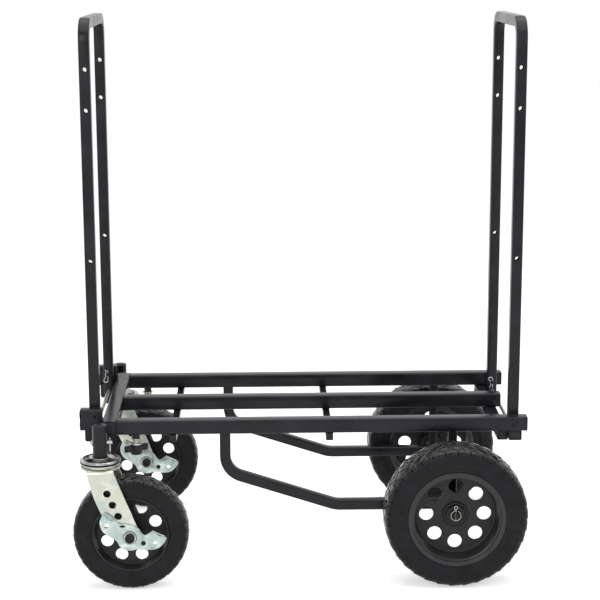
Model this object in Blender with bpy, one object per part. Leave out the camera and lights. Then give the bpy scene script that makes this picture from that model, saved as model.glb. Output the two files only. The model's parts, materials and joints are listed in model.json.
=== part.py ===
"""Telescoping equipment cart: a tube deck with two folding handles, two fixed wheels and two swivel casters.

Metres, +Z up. The origin is on the floor under the middle of the cart. +X points to the end with the
two large wheels, called the rear. "near" is the -Y side and "far" is the +Y side.
"""

import math

import bmesh
import bpy
from mathutils import Matrix, Vector

MM = 0.001
SIDES = (("near", -1), ("far", 1))

# Gaps between neighbouring pieces
WELD_GAP = 0.3 * MM
RUNNING_GAP = 0.4 * MM
SLIDE_GAP = 0.4 * MM

# Rear wheels, which roll on a stepped through axle
REAR_WHEEL_RADIUS = 127.0 * MM
REAR_TYRE_WIDTH = 76.0 * MM
REAR_WHEEL_TO_RAIL = 7.0 * MM
REAR_RIM_RADIUS = 88.0 * MM
REAR_DISC_RADIUS = 71.0 * MM
REAR_DISC_THICKNESS = 5.0 * MM
REAR_HUB_RADIUS = 21.0 * MM
REAR_HUB_OUTER = 6.0 * MM
REAR_HUB_INNER = 24.0 * MM
REAR_HOLE_CIRCLE = 51.0 * MM
REAR_HOLE_RADIUS = 12.7 * MM
REAR_BUSH_RADIUS = 9.0 * MM
REAR_BUSH_FLANGE_RADIUS = 12.0 * MM
REAR_BUSH_FLANGE = 2.0 * MM
AXLE_RADIUS = 7.9 * MM
JOURNAL_RADIUS = 6.35 * MM
JOURNAL_STICK_OUT = 9.5 * MM

# Caster wheels
CASTER_WHEEL_RADIUS = 101.6 * MM
CASTER_TYRE_WIDTH = 49.0 * MM
CASTER_RIM_RADIUS = 67.5 * MM
CASTER_DISC_RADIUS = 61.0 * MM
CASTER_DISC_THICKNESS = 4.0 * MM
CASTER_HUB_RADIUS = 16.0 * MM
CASTER_HUB_LENGTH = 52.0 * MM
CASTER_HOLE_CIRCLE = 46.0 * MM
CASTER_HOLE_RADIUS = 11.0 * MM
CASTER_BUSH_RADIUS = 8.5 * MM
CASTER_BUSH_FLANGE_RADIUS = 11.0 * MM
CASTER_BUSH_FLANGE = 2.0 * MM

# What both kinds of wheel share
WHEEL_HOLES = 8
RIM_INSET = 2.5 * MM
BARREL_DEPTH = 3.5 * MM

# Shape of both rims' lips and tyres: how far up the lip its step is, and the tyre's bends as shares of its
# depth over the rim and of its half width
RIM_STEP = 0.4
TYRE_SIDE_START = 0.4
TYRE_SIDE_END = 0.75
TYRE_SIDE_FALL = 0.04
TYRE_SHOULDER_FALL = 0.06
TYRE_SHOULDER_REACH = 0.8
TYRE_CROWN_REACH = 0.4

# Caster fork, swivel and brake plate
CASTER_TRAIL = 50.9 * MM
FORK_PLATE = 4.0 * MM
FORK_SIDE_CLEARANCE = 5.0 * MM
FORK_TOP_CLEARANCE = 16.0 * MM
FORK_BEND_RADIUS = 8.0 * MM
FORK_CROWN_RADIUS = 35.0 * MM
FORK_TOP_HALF_WIDTH = 23.0 * MM
FORK_EYE_RADIUS = 20.0 * MM
FORK_EYE_START = 6.0 * MM
FORK_HOLE_RADIUS = 6.0 * MM
FORK_HOLE_HEIGHTS = (38.0 * MM, 58.4 * MM, 78.8 * MM)
FORK_SLOT_RADIUS = 3.0 * MM
FORK_SLOT_HEIGHT = 21.4 * MM
FORK_HOLE_SETBACK = 3.0 * MM
FORK_HOLE_LEAN = 24.0
SWIVEL_GAP = 2.0 * MM
SWIVEL_RADIUS = 36.0 * MM
SWIVEL_HEIGHT = 10.6 * MM
SWIVEL_FLOOR = 1.5 * MM
SWIVEL_WALL_FOOT = 10.8 * MM
SWIVEL_WALL_TOP = 7.9 * MM
SWIVEL_LIP = 4.7 * MM
SWIVEL_LIP_EDGE = 1.4 * MM
SWIVEL_FOOT_INSET = 0.7 * MM
SWIVEL_LIP_ROUND = 1.0 * MM
SWIVEL_LIP_FALL = 2.5 * MM
COLLAR_RADIUS = 13.0 * MM
COLLAR_HEIGHT = 8.1 * MM
KINGPIN_RADIUS = 6.0 * MM
KINGPIN_HEAD_RADIUS = 22.0 * MM
KINGPIN_HEAD_HEIGHT = 4.0 * MM
CASTER_BOLT_RADIUS = 5.0 * MM
CASTER_BOLT_HEAD_RADIUS = 8.5 * MM
CASTER_BOLT_HEAD_HEIGHT = 5.5 * MM
CASTER_BOLT_FLANGE_RADIUS = 11.0 * MM
CASTER_BOLT_FLANGE = 1.5 * MM
BRAKE_PLATE = 3.0 * MM

# Outline of the brake plate round the caster's axle, in millimetres along X and Z from the axle
BRAKE_OUTLINE = (
    (-50.6, 34.0), (-51.5, 24.0), (-46.7, 11.6), (-36.9, 3.9), (-23.1, -6.1), (-17.6, -16.0),
    (-9.0, -21.5), (2.0, -23.5), (12.5, -21.3), (23.4, -22.4), (42.8, -21.7), (55.1, -14.6),
    (63.4, -0.4), (51.0, 3.2), (42.8, 9.8), (37.3, 11.0), (29.1, 5.3), (24.0, 5.3), (18.8, 11.0),
    (15.4, 16.9), (4.3, 22.6), (-6.7, 24.7), (-17.6, 26.2), (-29.6, 38.3), (-42.4, 45.4),
)
# Its small holes: where they are, in the same way, and their radius
BRAKE_HOLES = ((-40.0, 21.9, 3.6), (23.1, -10.3, 4.3), (43.4, -10.3, 3.6))

# Caster socket on the front frame, and the arm that carries it
SOCKET_RADIUS = 12.7 * MM
SOCKET_WALL = 1.8 * MM
SOCKET_LENGTH = 61.4 * MM
SOCKET_PIN_ABOVE_FOOT = 29.5 * MM
SOCKET_AHEAD_OF_CROSS_TUBE = 11.8 * MM
STEM_DOME = 2.2 * MM
ARM_LENGTH = 32.3 * MM
ARM_SIDE = 19.0 * MM
ARM_BELOW_RAIL = 2.8 * MM

# Deck rails: outer tubes of the rear frame, and inner tubes of the front frame that slide in them
DECK_ABOVE_SOCKET_FOOT = 54.4 * MM
RAIL_SIDE = 25.4 * MM
RAIL_WALL = 1.6 * MM
RAIL_CORNER = 3.0 * MM
RAIL_SPACING = 158.8 * MM
RAIL_LENGTH = 726.5 * MM
RAIL_REAR_X = 400.0 * MM
RAIL_CAP = 2.0 * MM
CAP_PLUG = 10.0 * MM
CENTRE_RAIL_SETBACK = 25.0 * MM
INNER_RAIL_CLEARANCE = 71.5 * MM

# Bars under the rails
UNDER_BAR_SIDE = 12.7 * MM
UNDER_BAR_CORNER = 1.0 * MM
UNDER_BARS = (("front", 99.3 * MM), ("rear", 376.6 * MM))
SMALL_TUBE_CORNER = 2.0 * MM
REAR_CROSS_TUBE_SIDE = 19.0 * MM
REAR_CROSS_TUBE_GAP = 2.0 * MM
REAR_FOOT_WIDTH = 23.0 * MM
REAR_FOOT_HEIGHT = 17.7 * MM
REAR_FOOT_WALL = 2.0 * MM

# Bent tubes under the deck that carry the axle
STRUT_SIDE = 19.0 * MM
STRUT_WALL = 1.6 * MM
STRUT_CORNER = 3.5 * MM
STRUT_FRONT_X = -135.2 * MM
STRUT_DROP = 71.4 * MM
STRUT_LOW_X = 61.5 * MM
STRUT_FRONT_BEND = 40.0 * MM
STRUT_LOW_BEND = 60.0 * MM
STRUT_TAIL = 14.0 * MM
AXLE_X = 269.5 * MM
POST_SIDE = 16.0 * MM
POST_WALL = 1.6 * MM

# Folding handles
HANDLE_SIDE = 19.0 * MM
HANDLE_WALL = 1.5 * MM
HANDLE_CORNER = 3.0 * MM
HANDLE_TOP = 988.0 * MM
HANDLE_BEND = 30.0 * MM
HANDLE_TO_RAIL = 0.8 * MM
HANDLE_HOLE_RADIUS = 4.0 * MM
HANDLE_HOLES_BELOW_TOP = (87.0 * MM, 157.0 * MM, 419.5 * MM)
FOLD_GAP = 0.5 * MM
LEFT_PIVOT_AHEAD_OF_CROSS_TUBE = 14.3 * MM
LEFT_FOOT_BELOW_PIVOT = 58.0 * MM
LEFT_ROD_BELOW_PIVOT = 33.0 * MM
RIGHT_PIVOT_FROM_RAIL_END = 19.8 * MM
RIGHT_FOOT_BELOW_PIVOT = 32.3 * MM
RIGHT_ROD_BELOW_PIVOT = 17.3 * MM
ROD_RADIUS = 3.2 * MM

# Brackets that hold the left handle, and their downward tabs
BRACKET_LENGTH = 36.5 * MM
BRACKET_HEIGHT = 38.5 * MM
BRACKET_WIDTH = 19.0 * MM
BRACKET_WALL = 2.0 * MM
BRACKET_CORNER = 3.0 * MM
BRACKET_ABOVE_PIVOT = 10.0 * MM
BRACKET_CAP = 2.4 * MM
TAB_WIDTH = 24.5 * MM
TAB_THICKNESS = 3.0 * MM
TAB_INSET = 4.5 * MM
TAB_DROP = 24.5 * MM

# Hinge pins and their spring clips
PIN_RADIUS = 3.2 * MM
PIN_HEAD_RADIUS = 5.5 * MM
PIN_HEAD_HEIGHT = 2.0 * MM
PIN_STICK_OUT = 9.0 * MM
CLIP_WIRE_RADIUS = 1.0 * MM
CLIP_FROM_FACE = 5.0 * MM
CLIP_HOLE_RADIUS = 1.5 * MM
CLIP_LOOP_RADIUS = 4.0 * MM
CLIP_LOOP_BELOW_WRAP = 3.0 * MM
CLIP_REACH = 4.0 * MM
CLIP_LIP_START = (-3.5 * MM, 1.5 * MM)
CLIP_LIP_END_X = -5.0 * MM

# Lock knobs under the front ends of the outer rails
KNOB_FROM_RAIL_END = 33.5 * MM
KNOB_RADIUS = 10.6 * MM
KNOB_HEIGHT = 18.5 * MM
KNOB_CHAMFER = 2.0 * MM
KNOB_WINGS = 2
KNOB_WING_REACH = 23.0 * MM
KNOB_WING_RADIUS = 4.5 * MM
KNOB_WING_HEIGHT = 11.0 * MM
KNOB_WING_LIFT = 5.4 * MM
KNOB_WING_ANGLE = 30.0
FERRULE_RADIUS = 11.2 * MM
FERRULE_HEIGHT = 11.0 * MM
SCREW_RADIUS = 4.0 * MM
BOSS_RADIUS = 7.0 * MM
BOSS_HEIGHT = 8.1 * MM

# Faceting of round pieces
REAR_WHEEL_SIDES = 28
CASTER_WHEEL_SIDES = 24
ROUND_SIDES = 16
SMALL_SIDES = 12
TINY_SIDES = 8
WIRE_SIDES = 6
CORNER_STEPS = 1
BEND_STEPS = 4

# Colours of the finishes, with roughness and metallic values
FINISHES = {
    "powder_coat": ((0.035, 0.036, 0.040, 1.0), 0.42, 0.0),
    "zinc_plate": ((0.62, 0.65, 0.60, 1.0), 0.32, 0.9),
    "bright_steel": ((0.60, 0.60, 0.62, 1.0), 0.22, 1.0),
    "black_plastic": ((0.025, 0.025, 0.028, 1.0), 0.50, 0.0),
    "rubber": ((0.022, 0.022, 0.024, 1.0), 0.75, 0.0),
}

# Heights that follow from the sizes above
CASTER_AXLE_Z = CASTER_WHEEL_RADIUS
CROWN_TOP_Z = 2 * CASTER_WHEEL_RADIUS + FORK_TOP_CLEARANCE + FORK_PLATE
SWIVEL_FOOT_Z = CROWN_TOP_Z + SWIVEL_GAP
SOCKET_FOOT_Z = SWIVEL_FOOT_Z + COLLAR_HEIGHT + WELD_GAP
SOCKET_TOP_Z = SOCKET_FOOT_Z + SOCKET_LENGTH
SOCKET_PIN_Z = SOCKET_FOOT_Z + SOCKET_PIN_ABOVE_FOOT
DECK_TOP_Z = SOCKET_FOOT_Z + DECK_ABOVE_SOCKET_FOOT
RAIL_Z = DECK_TOP_Z - RAIL_SIDE / 2
RAIL_BOTTOM_Z = DECK_TOP_Z - RAIL_SIDE
UNDER_RAIL_Z = RAIL_BOTTOM_Z - WELD_GAP
AXLE_Z = REAR_WHEEL_RADIUS

# Places along and across the cart that follow from the sizes above
RAIL_FRONT_X = RAIL_REAR_X - RAIL_LENGTH
INNER_RAIL_LENGTH = RAIL_LENGTH - CENTRE_RAIL_SETBACK - CAP_PLUG - INNER_RAIL_CLEARANCE
RAIL_OUTER_FACE = RAIL_SPACING + RAIL_SIDE / 2
RAIL_INNER_FACE = RAIL_SPACING - RAIL_SIDE / 2
CROSS_TUBE_X = RAIL_FRONT_X - WELD_GAP - RAIL_SIDE / 2
CROSS_TUBE_FRONT_X = CROSS_TUBE_X - RAIL_SIDE / 2
STEM_X = CROSS_TUBE_X - SOCKET_AHEAD_OF_CROSS_TUBE
STEM_Y = RAIL_OUTER_FACE + ARM_LENGTH + SOCKET_RADIUS
CASTER_AXLE_X = STEM_X + CASTER_TRAIL
FORK_INNER_FACE = CASTER_TYRE_WIDTH / 2 + FORK_SIDE_CLEARANCE
FORK_OUTER_FACE = FORK_INNER_FACE + FORK_PLATE
WHEEL_Y = RAIL_OUTER_FACE + REAR_WHEEL_TO_RAIL + REAR_TYRE_WIDTH / 2
LEG_Y = RAIL_INNER_FACE - HANDLE_TO_RAIL - HANDLE_SIDE / 2
LEG_OUTER_FACE = LEG_Y + HANDLE_SIDE / 2
LEG_INNER_FACE = LEG_Y - HANDLE_SIDE / 2
LEFT_PIVOT = Vector((CROSS_TUBE_FRONT_X - LEFT_PIVOT_AHEAD_OF_CROSS_TUBE, 0.0,
                     DECK_TOP_Z + HANDLE_SIDE / 2 + FOLD_GAP))
RIGHT_PIVOT = Vector((RAIL_REAR_X - RIGHT_PIVOT_FROM_RAIL_END, 0.0, RAIL_Z))
REAR_CROSS_TUBE_X = RIGHT_PIVOT.x - HANDLE_SIDE / 2 - REAR_CROSS_TUBE_GAP - REAR_CROSS_TUBE_SIDE / 2
KNOB_X = RAIL_FRONT_X + KNOB_FROM_RAIL_END
BOSS_FOOT_Z = RAIL_BOTTOM_Z - BOSS_HEIGHT
PIN_HOLE_RADIUS = PIN_RADIUS + RUNNING_GAP

# Directions
X_AXIS = Vector((1.0, 0.0, 0.0))
Y_AXIS = Vector((0.0, 1.0, 0.0))
Z_AXIS = Vector((0.0, 0.0, 1.0))


def clear_scene():
    """Removes whatever the scene holds."""
    for old in list(bpy.data.objects):
        bpy.data.objects.remove(old, do_unlink=True)


def add_pivot(name, location, parent=None):
    """An empty on a joint's axis, which carries the pieces that move together."""
    pivot = bpy.data.objects.new(name, None)
    pivot.empty_display_size = 0.05
    bpy.context.scene.collection.objects.link(pivot)
    parent_place = Vector((0.0, 0.0, 0.0))
    if parent is not None:
        pivot.parent = parent
        parent_place = Vector(parent["place"])
    pivot.location = Vector(location) - parent_place
    pivot["place"] = tuple(location)
    return pivot


def make_finish(name, finish):
    """A material with one of the finishes."""
    colour, roughness, metallic = FINISHES[finish]
    material = bpy.data.materials.new(name + "_" + finish)
    material.use_nodes = True
    material.diffuse_color = colour
    shader = material.node_tree.nodes["Principled BSDF"]
    shader.inputs["Base Color"].default_value = colour
    shader.inputs["Roughness"].default_value = roughness
    shader.inputs["Metallic"].default_value = metallic
    return material


def make_part(name, shape, finish, pivot=None):
    """Turns a bmesh in world coordinates into a named object whose origin is at its pivot."""
    bmesh.ops.recalc_face_normals(shape, faces=shape.faces)
    if pivot is not None:
        shape.transform(Matrix.Translation(-Vector(pivot["place"])))
    mesh = bpy.data.meshes.new(name)
    shape.to_mesh(mesh)
    shape.free()
    mesh.shade_smooth()
    mesh.set_sharp_from_angle(angle=math.radians(35))
    mesh.materials.append(make_finish(name, finish))
    part = bpy.data.objects.new(name, mesh)
    part.parent = pivot
    bpy.context.scene.collection.objects.link(part)
    return part


def add_boolean(part, tool_shape, operation):
    """Joins or cuts a part with a hidden tool shape given in world coordinates."""
    bmesh.ops.recalc_face_normals(tool_shape, faces=tool_shape.faces)
    name = part.name + "_" + operation.lower() + "_tool"
    mesh = bpy.data.meshes.new(name)
    tool_shape.to_mesh(mesh)
    tool_shape.free()
    tool = bpy.data.objects.new(name, mesh)
    tool.hide_render = True
    tool.display_type = "WIRE"
    bpy.context.scene.collection.objects.link(tool)
    modifier = part.modifiers.new(operation.lower(), "BOOLEAN")
    modifier.operation = operation
    modifier.object = tool
    modifier.solver = "EXACT"


def drill(part, holes, sides=SMALL_SIDES):
    """Cuts round holes, each given by its two ends and the radius that it must clear."""
    tool = bmesh.new()
    for start, end, radius in holes:
        add_rod(tool, start, end, radius / math.cos(math.pi / sides), sides)
    add_boolean(part, tool, "DIFFERENCE")


def hole_along(axis, middle, reach, radius):
    """A hole along an axis, from one reach before its middle to one reach after it."""
    return (middle - axis * reach, middle + axis * reach, radius)


def rounded_rectangle(width, height, radius):
    """Outline of a rectangle whose corners are quarter circles in a few steps."""
    points = []
    for quarter, (across, up) in enumerate(((1, 1), (-1, 1), (-1, -1), (1, -1))):
        for step in range(CORNER_STEPS + 1):
            angle = math.radians(90 * quarter + 90 * step / CORNER_STEPS)
            points.append((across * (width / 2 - radius) + radius * math.cos(angle),
                           up * (height / 2 - radius) + radius * math.sin(angle)))
    return points


def polygon(radius, sides):
    """Corners of a regular polygon that stands for a circle."""
    angles = [2 * math.pi * side / sides for side in range(sides)]
    return [(radius * math.cos(angle), radius * math.sin(angle)) for angle in angles]


def filleted_path(corners, radii, steps=BEND_STEPS):
    """A path through straight runs whose inner corners are arcs of the given centreline radii."""
    corners = [Vector(corner) for corner in corners]
    points = [corners[0]]
    for before, corner, after, radius in zip(corners, corners[1:], corners[2:], radii):
        towards_before = (before - corner).normalized()
        towards_after = (after - corner).normalized()
        half_angle = towards_before.angle(towards_after) / 2
        bisector = (towards_before + towards_after).normalized()
        centre = corner + bisector * (radius / math.sin(half_angle))
        start = corner + towards_before * (radius / math.tan(half_angle)) - centre
        turn = math.pi - 2 * half_angle
        axis = start.cross(-towards_before).normalized()
        for step in range(steps + 1):
            points.append(centre + Matrix.Rotation(turn * step / steps, 3, axis) @ start)
    points.append(corners[-1])
    return points


def section_rings(path, sections, side):
    """One section at each point of a flat path, mitred at its corners; side is square to the path's plane."""
    rings = []
    last = len(path) - 1
    for index, (point, section) in enumerate(zip(path, sections)):
        arriving = (point - path[index - 1]).normalized() if index > 0 else None
        leaving = (path[index + 1] - point).normalized() if index < last else arriving
        arriving = arriving or leaving
        tangent = (arriving + leaving).normalized()
        stretch = 1.0 / tangent.dot(arriving)
        across = side.cross(tangent).normalized()
        rings.append([point + side * u + across * (v * stretch) for u, v in section])
    return rings


def add_skin(shape, rings, closed=False):
    """Quads between neighbouring rings of equal length, and back to the first ring if closed."""
    rows = [[shape.verts.new(point) for point in ring] for ring in rings]
    pairs = list(zip(rows, rows[1:]))
    if closed:
        pairs.append((rows[-1], rows[0]))
    for row, next_row in pairs:
        bridge_rows(shape, row, next_row)
    return rows


def bridge_rows(shape, row, next_row):
    """Quads between two rows of points of equal length."""
    count = len(row)
    for index in range(count):
        following = (index + 1) % count
        shape.faces.new((row[index], row[following], next_row[following], next_row[index]))


def add_tube(shape, path, side, section, bore=None):
    """A solid bar along a flat path, or a tube open at both ends if a bore section is given."""
    rows = add_skin(shape, section_rings(path, [section] * len(path), side))
    if bore is None:
        shape.faces.new(rows[0])
        shape.faces.new(rows[-1])
        return
    bore_rows = add_skin(shape, section_rings(path, [bore] * len(path), side))
    bridge_rows(shape, rows[0], bore_rows[0])
    bridge_rows(shape, rows[-1], bore_rows[-1])


def add_square_tube(shape, path, side, size, corner, wall=None):
    """A square bar or tube along a flat path."""
    bore = None
    if wall is not None:
        bore = rounded_rectangle(size - 2 * wall, size - 2 * wall, max(corner - wall, WELD_GAP))
    add_tube(shape, path, side, rounded_rectangle(size, size, corner), bore)


def side_of(direction):
    """A direction square to the given one."""
    reference = X_AXIS if abs(direction.normalized().z) > 0.9 else Z_AXIS
    return direction.cross(reference).normalized()


def add_rod(shape, start, end, radius, sides=SMALL_SIDES):
    """A straight round rod between two points."""
    start, end = Vector(start), Vector(end)
    add_tube(shape, [start, end], side_of(end - start), polygon(radius, sides))


def add_block(shape, low, high):
    """A box between two corners."""
    size, middle = high - low, (high + low) / 2
    bmesh.ops.create_cube(shape, size=1.0, matrix=Matrix.Translation(middle) @ Matrix.Diagonal((*size, 1.0)))


def add_prism(shape, outline, axis, low, high):
    """A flat outline drawn out along Y, from points (x, z), or along Z, from points (x, y)."""
    rings = []
    for level in (low, high):
        if axis is Y_AXIS:
            rings.append([Vector((a, level, b)) for a, b in outline])
        else:
            rings.append([Vector((a, b, level)) for a, b in outline])
    rows = add_skin(shape, rings)
    shape.faces.new(rows[0])
    shape.faces.new(rows[-1])


def add_turned(shape, profile, centre, axis, sides):
    """Turns (radius, height) points about Y or Z: a loop, or a line with both ends on the axis."""
    centre = Vector(centre)
    on_axis = profile[0][0] == 0.0
    rings = []
    for radius, height in profile[1:-1] if on_axis else profile:
        if axis is Y_AXIS:
            rings.append([centre + Vector((a, height, b)) for a, b in polygon(radius, sides)])
        else:
            rings.append([centre + Vector((a, b, height)) for a, b in polygon(radius, sides)])
    rows = add_skin(shape, rings, closed=not on_axis)
    if not on_axis:
        return
    for row, (_, height) in ((rows[0], profile[0]), (rows[-1], profile[-1])):
        pole = shape.verts.new(centre + axis * height)
        for index in range(sides):
            shape.faces.new((row[index], row[(index + 1) % sides], pole))


def mirrored_loop(half):
    """A profile loop from its half at positive heights."""
    return half + [(radius, -height) for radius, height in reversed(half)]


def clip_path(centre, pin_radius, up):
    """Centreline of a spring clip in the XZ plane: one arm crosses the pin, the other goes round it."""
    loop_turn, loop_steps = -210, 5
    wrap_start, wrap_step, wrap_steps = 225, -30, 3
    wrap = (pin_radius + CLIP_WIRE_RADIUS + WELD_GAP) / math.cos(math.radians(wrap_step / 2))
    reach = wrap + CLIP_REACH
    loop_z = -(wrap + CLIP_LOOP_BELOW_WRAP + CLIP_LOOP_RADIUS)
    points = [(0.0, reach), (0.0, loop_z + CLIP_LOOP_RADIUS)]
    for step in range(loop_steps + 1):
        angle = math.radians(loop_turn * step / loop_steps)
        x = CLIP_LOOP_RADIUS * (math.cos(angle) - 1.0)
        points.append((x, loop_z + CLIP_LOOP_RADIUS * math.sin(angle)))
    for step in range(wrap_steps + 1):
        angle = math.radians(wrap_start + wrap_step * step)
        points.append((wrap * math.cos(angle), wrap * math.sin(angle)))
    lip_x, lip_rise = CLIP_LIP_START
    points.append((lip_x, wrap + lip_rise))
    points.append((CLIP_LIP_END_X, reach))
    return [centre + Vector((x, 0.0, z * up)) for x, z in points]


def make_clip(name, centre, pin_radius, pivot=None, up=1, turn=0.0):
    """A spring clip across a pin that lies along Y, or along X after a quarter turn about Z."""
    spin = Matrix.Rotation(math.radians(turn), 3, "Z")
    path = [centre + spin @ (point - centre) for point in clip_path(centre, pin_radius, up)]
    shape = bmesh.new()
    add_tube(shape, path, spin @ Y_AXIS, polygon(CLIP_WIRE_RADIUS, WIRE_SIDES))
    make_part(name, shape, "bright_steel", pivot)


def make_pin(name, head, direction, length, clip_reach, pivot=None):
    """A headed pin from its seat along a direction, with a hole for its clip near its tip."""
    rings = []
    side = side_of(direction)
    for along, radius in ((-PIN_HEAD_HEIGHT, PIN_HEAD_RADIUS), (0.0, PIN_HEAD_RADIUS), (0.0, PIN_RADIUS),
                          (length, PIN_RADIUS)):
        across = side.cross(direction)
        middle = head + direction * along
        rings.append([middle + side * a + across * b for a, b in polygon(radius, SMALL_SIDES)])
    shape = bmesh.new()
    rows = add_skin(shape, rings)
    shape.faces.new(rows[0])
    shape.faces.new(rows[-1])
    pin = make_part(name, shape, "zinc_plate", pivot)
    clip_middle = head + direction * clip_reach
    drill(pin, [hole_along(Z_AXIS, clip_middle, 2 * PIN_RADIUS, CLIP_HOLE_RADIUS)], TINY_SIDES)


def make_hinge_pin(name, place, sign, holder_face, clip_up, pivot=None):
    """A hinge pin from the outer face of its holder to inside the handle's leg, and its clip."""
    direction = Y_AXIS * -sign
    head = Vector((place.x, sign * (holder_face + WELD_GAP), place.z))
    clip_reach = holder_face + WELD_GAP - LEG_INNER_FACE + CLIP_FROM_FACE
    length = clip_reach - CLIP_FROM_FACE + PIN_STICK_OUT
    make_pin(name.replace("*", "pin"), head, direction, length, clip_reach, pivot)
    make_clip(name.replace("*", "clip"), head + direction * clip_reach, PIN_RADIUS, pivot, clip_up)


def make_plug(name, centre, direction, size):
    """A square end plug: a body inside the tube, and a lip that covers the tube's end."""
    inside = size - 2 * RAIL_WALL - 2 * WELD_GAP
    body = rounded_rectangle(inside, inside, RAIL_CORNER / 2)
    rim = rounded_rectangle(size, size, RAIL_CORNER)
    crown = rounded_rectangle(size - 2 * RAIL_CAP, size - 2 * RAIL_CAP, RAIL_CORNER / 2)
    rings = []
    for distance, section in ((-CAP_PLUG, body), (WELD_GAP, body), (WELD_GAP, rim), (RAIL_CAP / 2, rim),
                              (RAIL_CAP, crown)):
        rings.append([centre + direction * distance + Y_AXIS * a + Z_AXIS * b for a, b in section])
    shape = bmesh.new()
    rows = add_skin(shape, rings)
    shape.faces.new(rows[0])
    shape.faces.new(rows[-1])
    make_part(name, shape, "black_plastic")


def make_outer_rail(name, y, rear_x):
    """One outer tube of the deck."""
    shape = bmesh.new()
    path = [Vector((RAIL_FRONT_X, y, RAIL_Z)), Vector((rear_x, y, RAIL_Z))]
    add_square_tube(shape, path, Y_AXIS, RAIL_SIDE, RAIL_CORNER, RAIL_WALL)
    return make_part("outer_rail_" + name, shape, "powder_coat")


def add_rail_fittings(rail, y):
    """Welds the lock boss and the rear foot box under a side rail, then drills it."""
    overlap = RAIL_WALL / 2
    boss = bmesh.new()
    add_rod(boss, (KNOB_X, y, BOSS_FOOT_Z), (KNOB_X, y, RAIL_BOTTOM_Z + overlap), BOSS_RADIUS, ROUND_SIDES)
    add_boolean(rail, boss, "UNION")
    front_x = REAR_CROSS_TUBE_X + REAR_CROSS_TUBE_SIDE / 2 + WELD_GAP
    middle = Vector((front_x + REAR_FOOT_WIDTH / 2, y, RAIL_BOTTOM_Z + overlap - REAR_FOOT_HEIGHT / 2))
    half = Y_AXIS * (RAIL_SIDE / 2 - RAIL_CORNER)
    outer = rounded_rectangle(REAR_FOOT_HEIGHT, REAR_FOOT_WIDTH, REAR_FOOT_WALL)
    bore_height = REAR_FOOT_HEIGHT - 2 * REAR_FOOT_WALL
    bore = rounded_rectangle(bore_height, REAR_FOOT_WIDTH - 2 * REAR_FOOT_WALL, WELD_GAP)
    foot = bmesh.new()
    add_tube(foot, [middle - half, middle + half], Z_AXIS, outer, bore)
    add_boolean(rail, foot, "UNION")
    hinge = Vector((RIGHT_PIVOT.x, y, RIGHT_PIVOT.z))
    screw_foot = Vector((KNOB_X, y, BOSS_FOOT_Z - BOSS_HEIGHT))
    screw_top = Vector((KNOB_X, y, RAIL_Z))
    drill(rail, [hole_along(Y_AXIS, hinge, RAIL_SIDE, PIN_HOLE_RADIUS),
                 (screw_foot, screw_top, SCREW_RADIUS + RUNNING_GAP)])


def make_under_bar(name, offset):
    """A square bar across the underside of the three rails."""
    shape = bmesh.new()
    x = RAIL_FRONT_X + offset
    z = UNDER_RAIL_Z - UNDER_BAR_SIDE / 2
    path = [Vector((x, -RAIL_OUTER_FACE, z)), Vector((x, RAIL_OUTER_FACE, z))]
    add_square_tube(shape, path, X_AXIS, UNDER_BAR_SIDE, UNDER_BAR_CORNER)
    make_part("under_bar_" + name, shape, "powder_coat")


def make_rear_cross_tube():
    """The tube under the rear ends of the rails, which stops the right handle from leaning outwards."""
    shape = bmesh.new()
    z = UNDER_RAIL_Z - REAR_CROSS_TUBE_SIDE / 2
    path = [Vector((REAR_CROSS_TUBE_X, -RAIL_SPACING, z)), Vector((REAR_CROSS_TUBE_X, RAIL_SPACING, z))]
    add_square_tube(shape, path, X_AXIS, REAR_CROSS_TUBE_SIDE, SMALL_TUBE_CORNER, RAIL_WALL)
    make_part("rear_cross_tube", shape, "powder_coat")


def make_strut(name, y):
    """A bent tube that drops from a side rail and runs back to the axle, with the post over the axle."""
    corners = [(STRUT_FRONT_X, y, UNDER_RAIL_Z), (STRUT_FRONT_X, y, RAIL_BOTTOM_Z - STRUT_DROP),
               (STRUT_LOW_X, y, AXLE_Z), (AXLE_X + STRUT_TAIL, y, AXLE_Z)]
    shape = bmesh.new()
    path = filleted_path(corners, (STRUT_FRONT_BEND, STRUT_LOW_BEND))
    add_square_tube(shape, path, Y_AXIS, STRUT_SIDE, STRUT_CORNER, STRUT_WALL)
    strut = make_part("axle_strut_" + name, shape, "powder_coat")
    axle = Vector((AXLE_X, y, AXLE_Z))
    post = bmesh.new()
    post_foot = axle + Z_AXIS * (STRUT_SIDE / 2 - STRUT_WALL / 2)
    post_path = [post_foot, Vector((AXLE_X, y, UNDER_RAIL_Z))]
    add_square_tube(post, post_path, Y_AXIS, POST_SIDE, SMALL_TUBE_CORNER, POST_WALL)
    add_boolean(strut, post, "UNION")
    drill(strut, [hole_along(Y_AXIS, axle, STRUT_SIDE, AXLE_RADIUS + WELD_GAP)], ROUND_SIDES)


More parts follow.
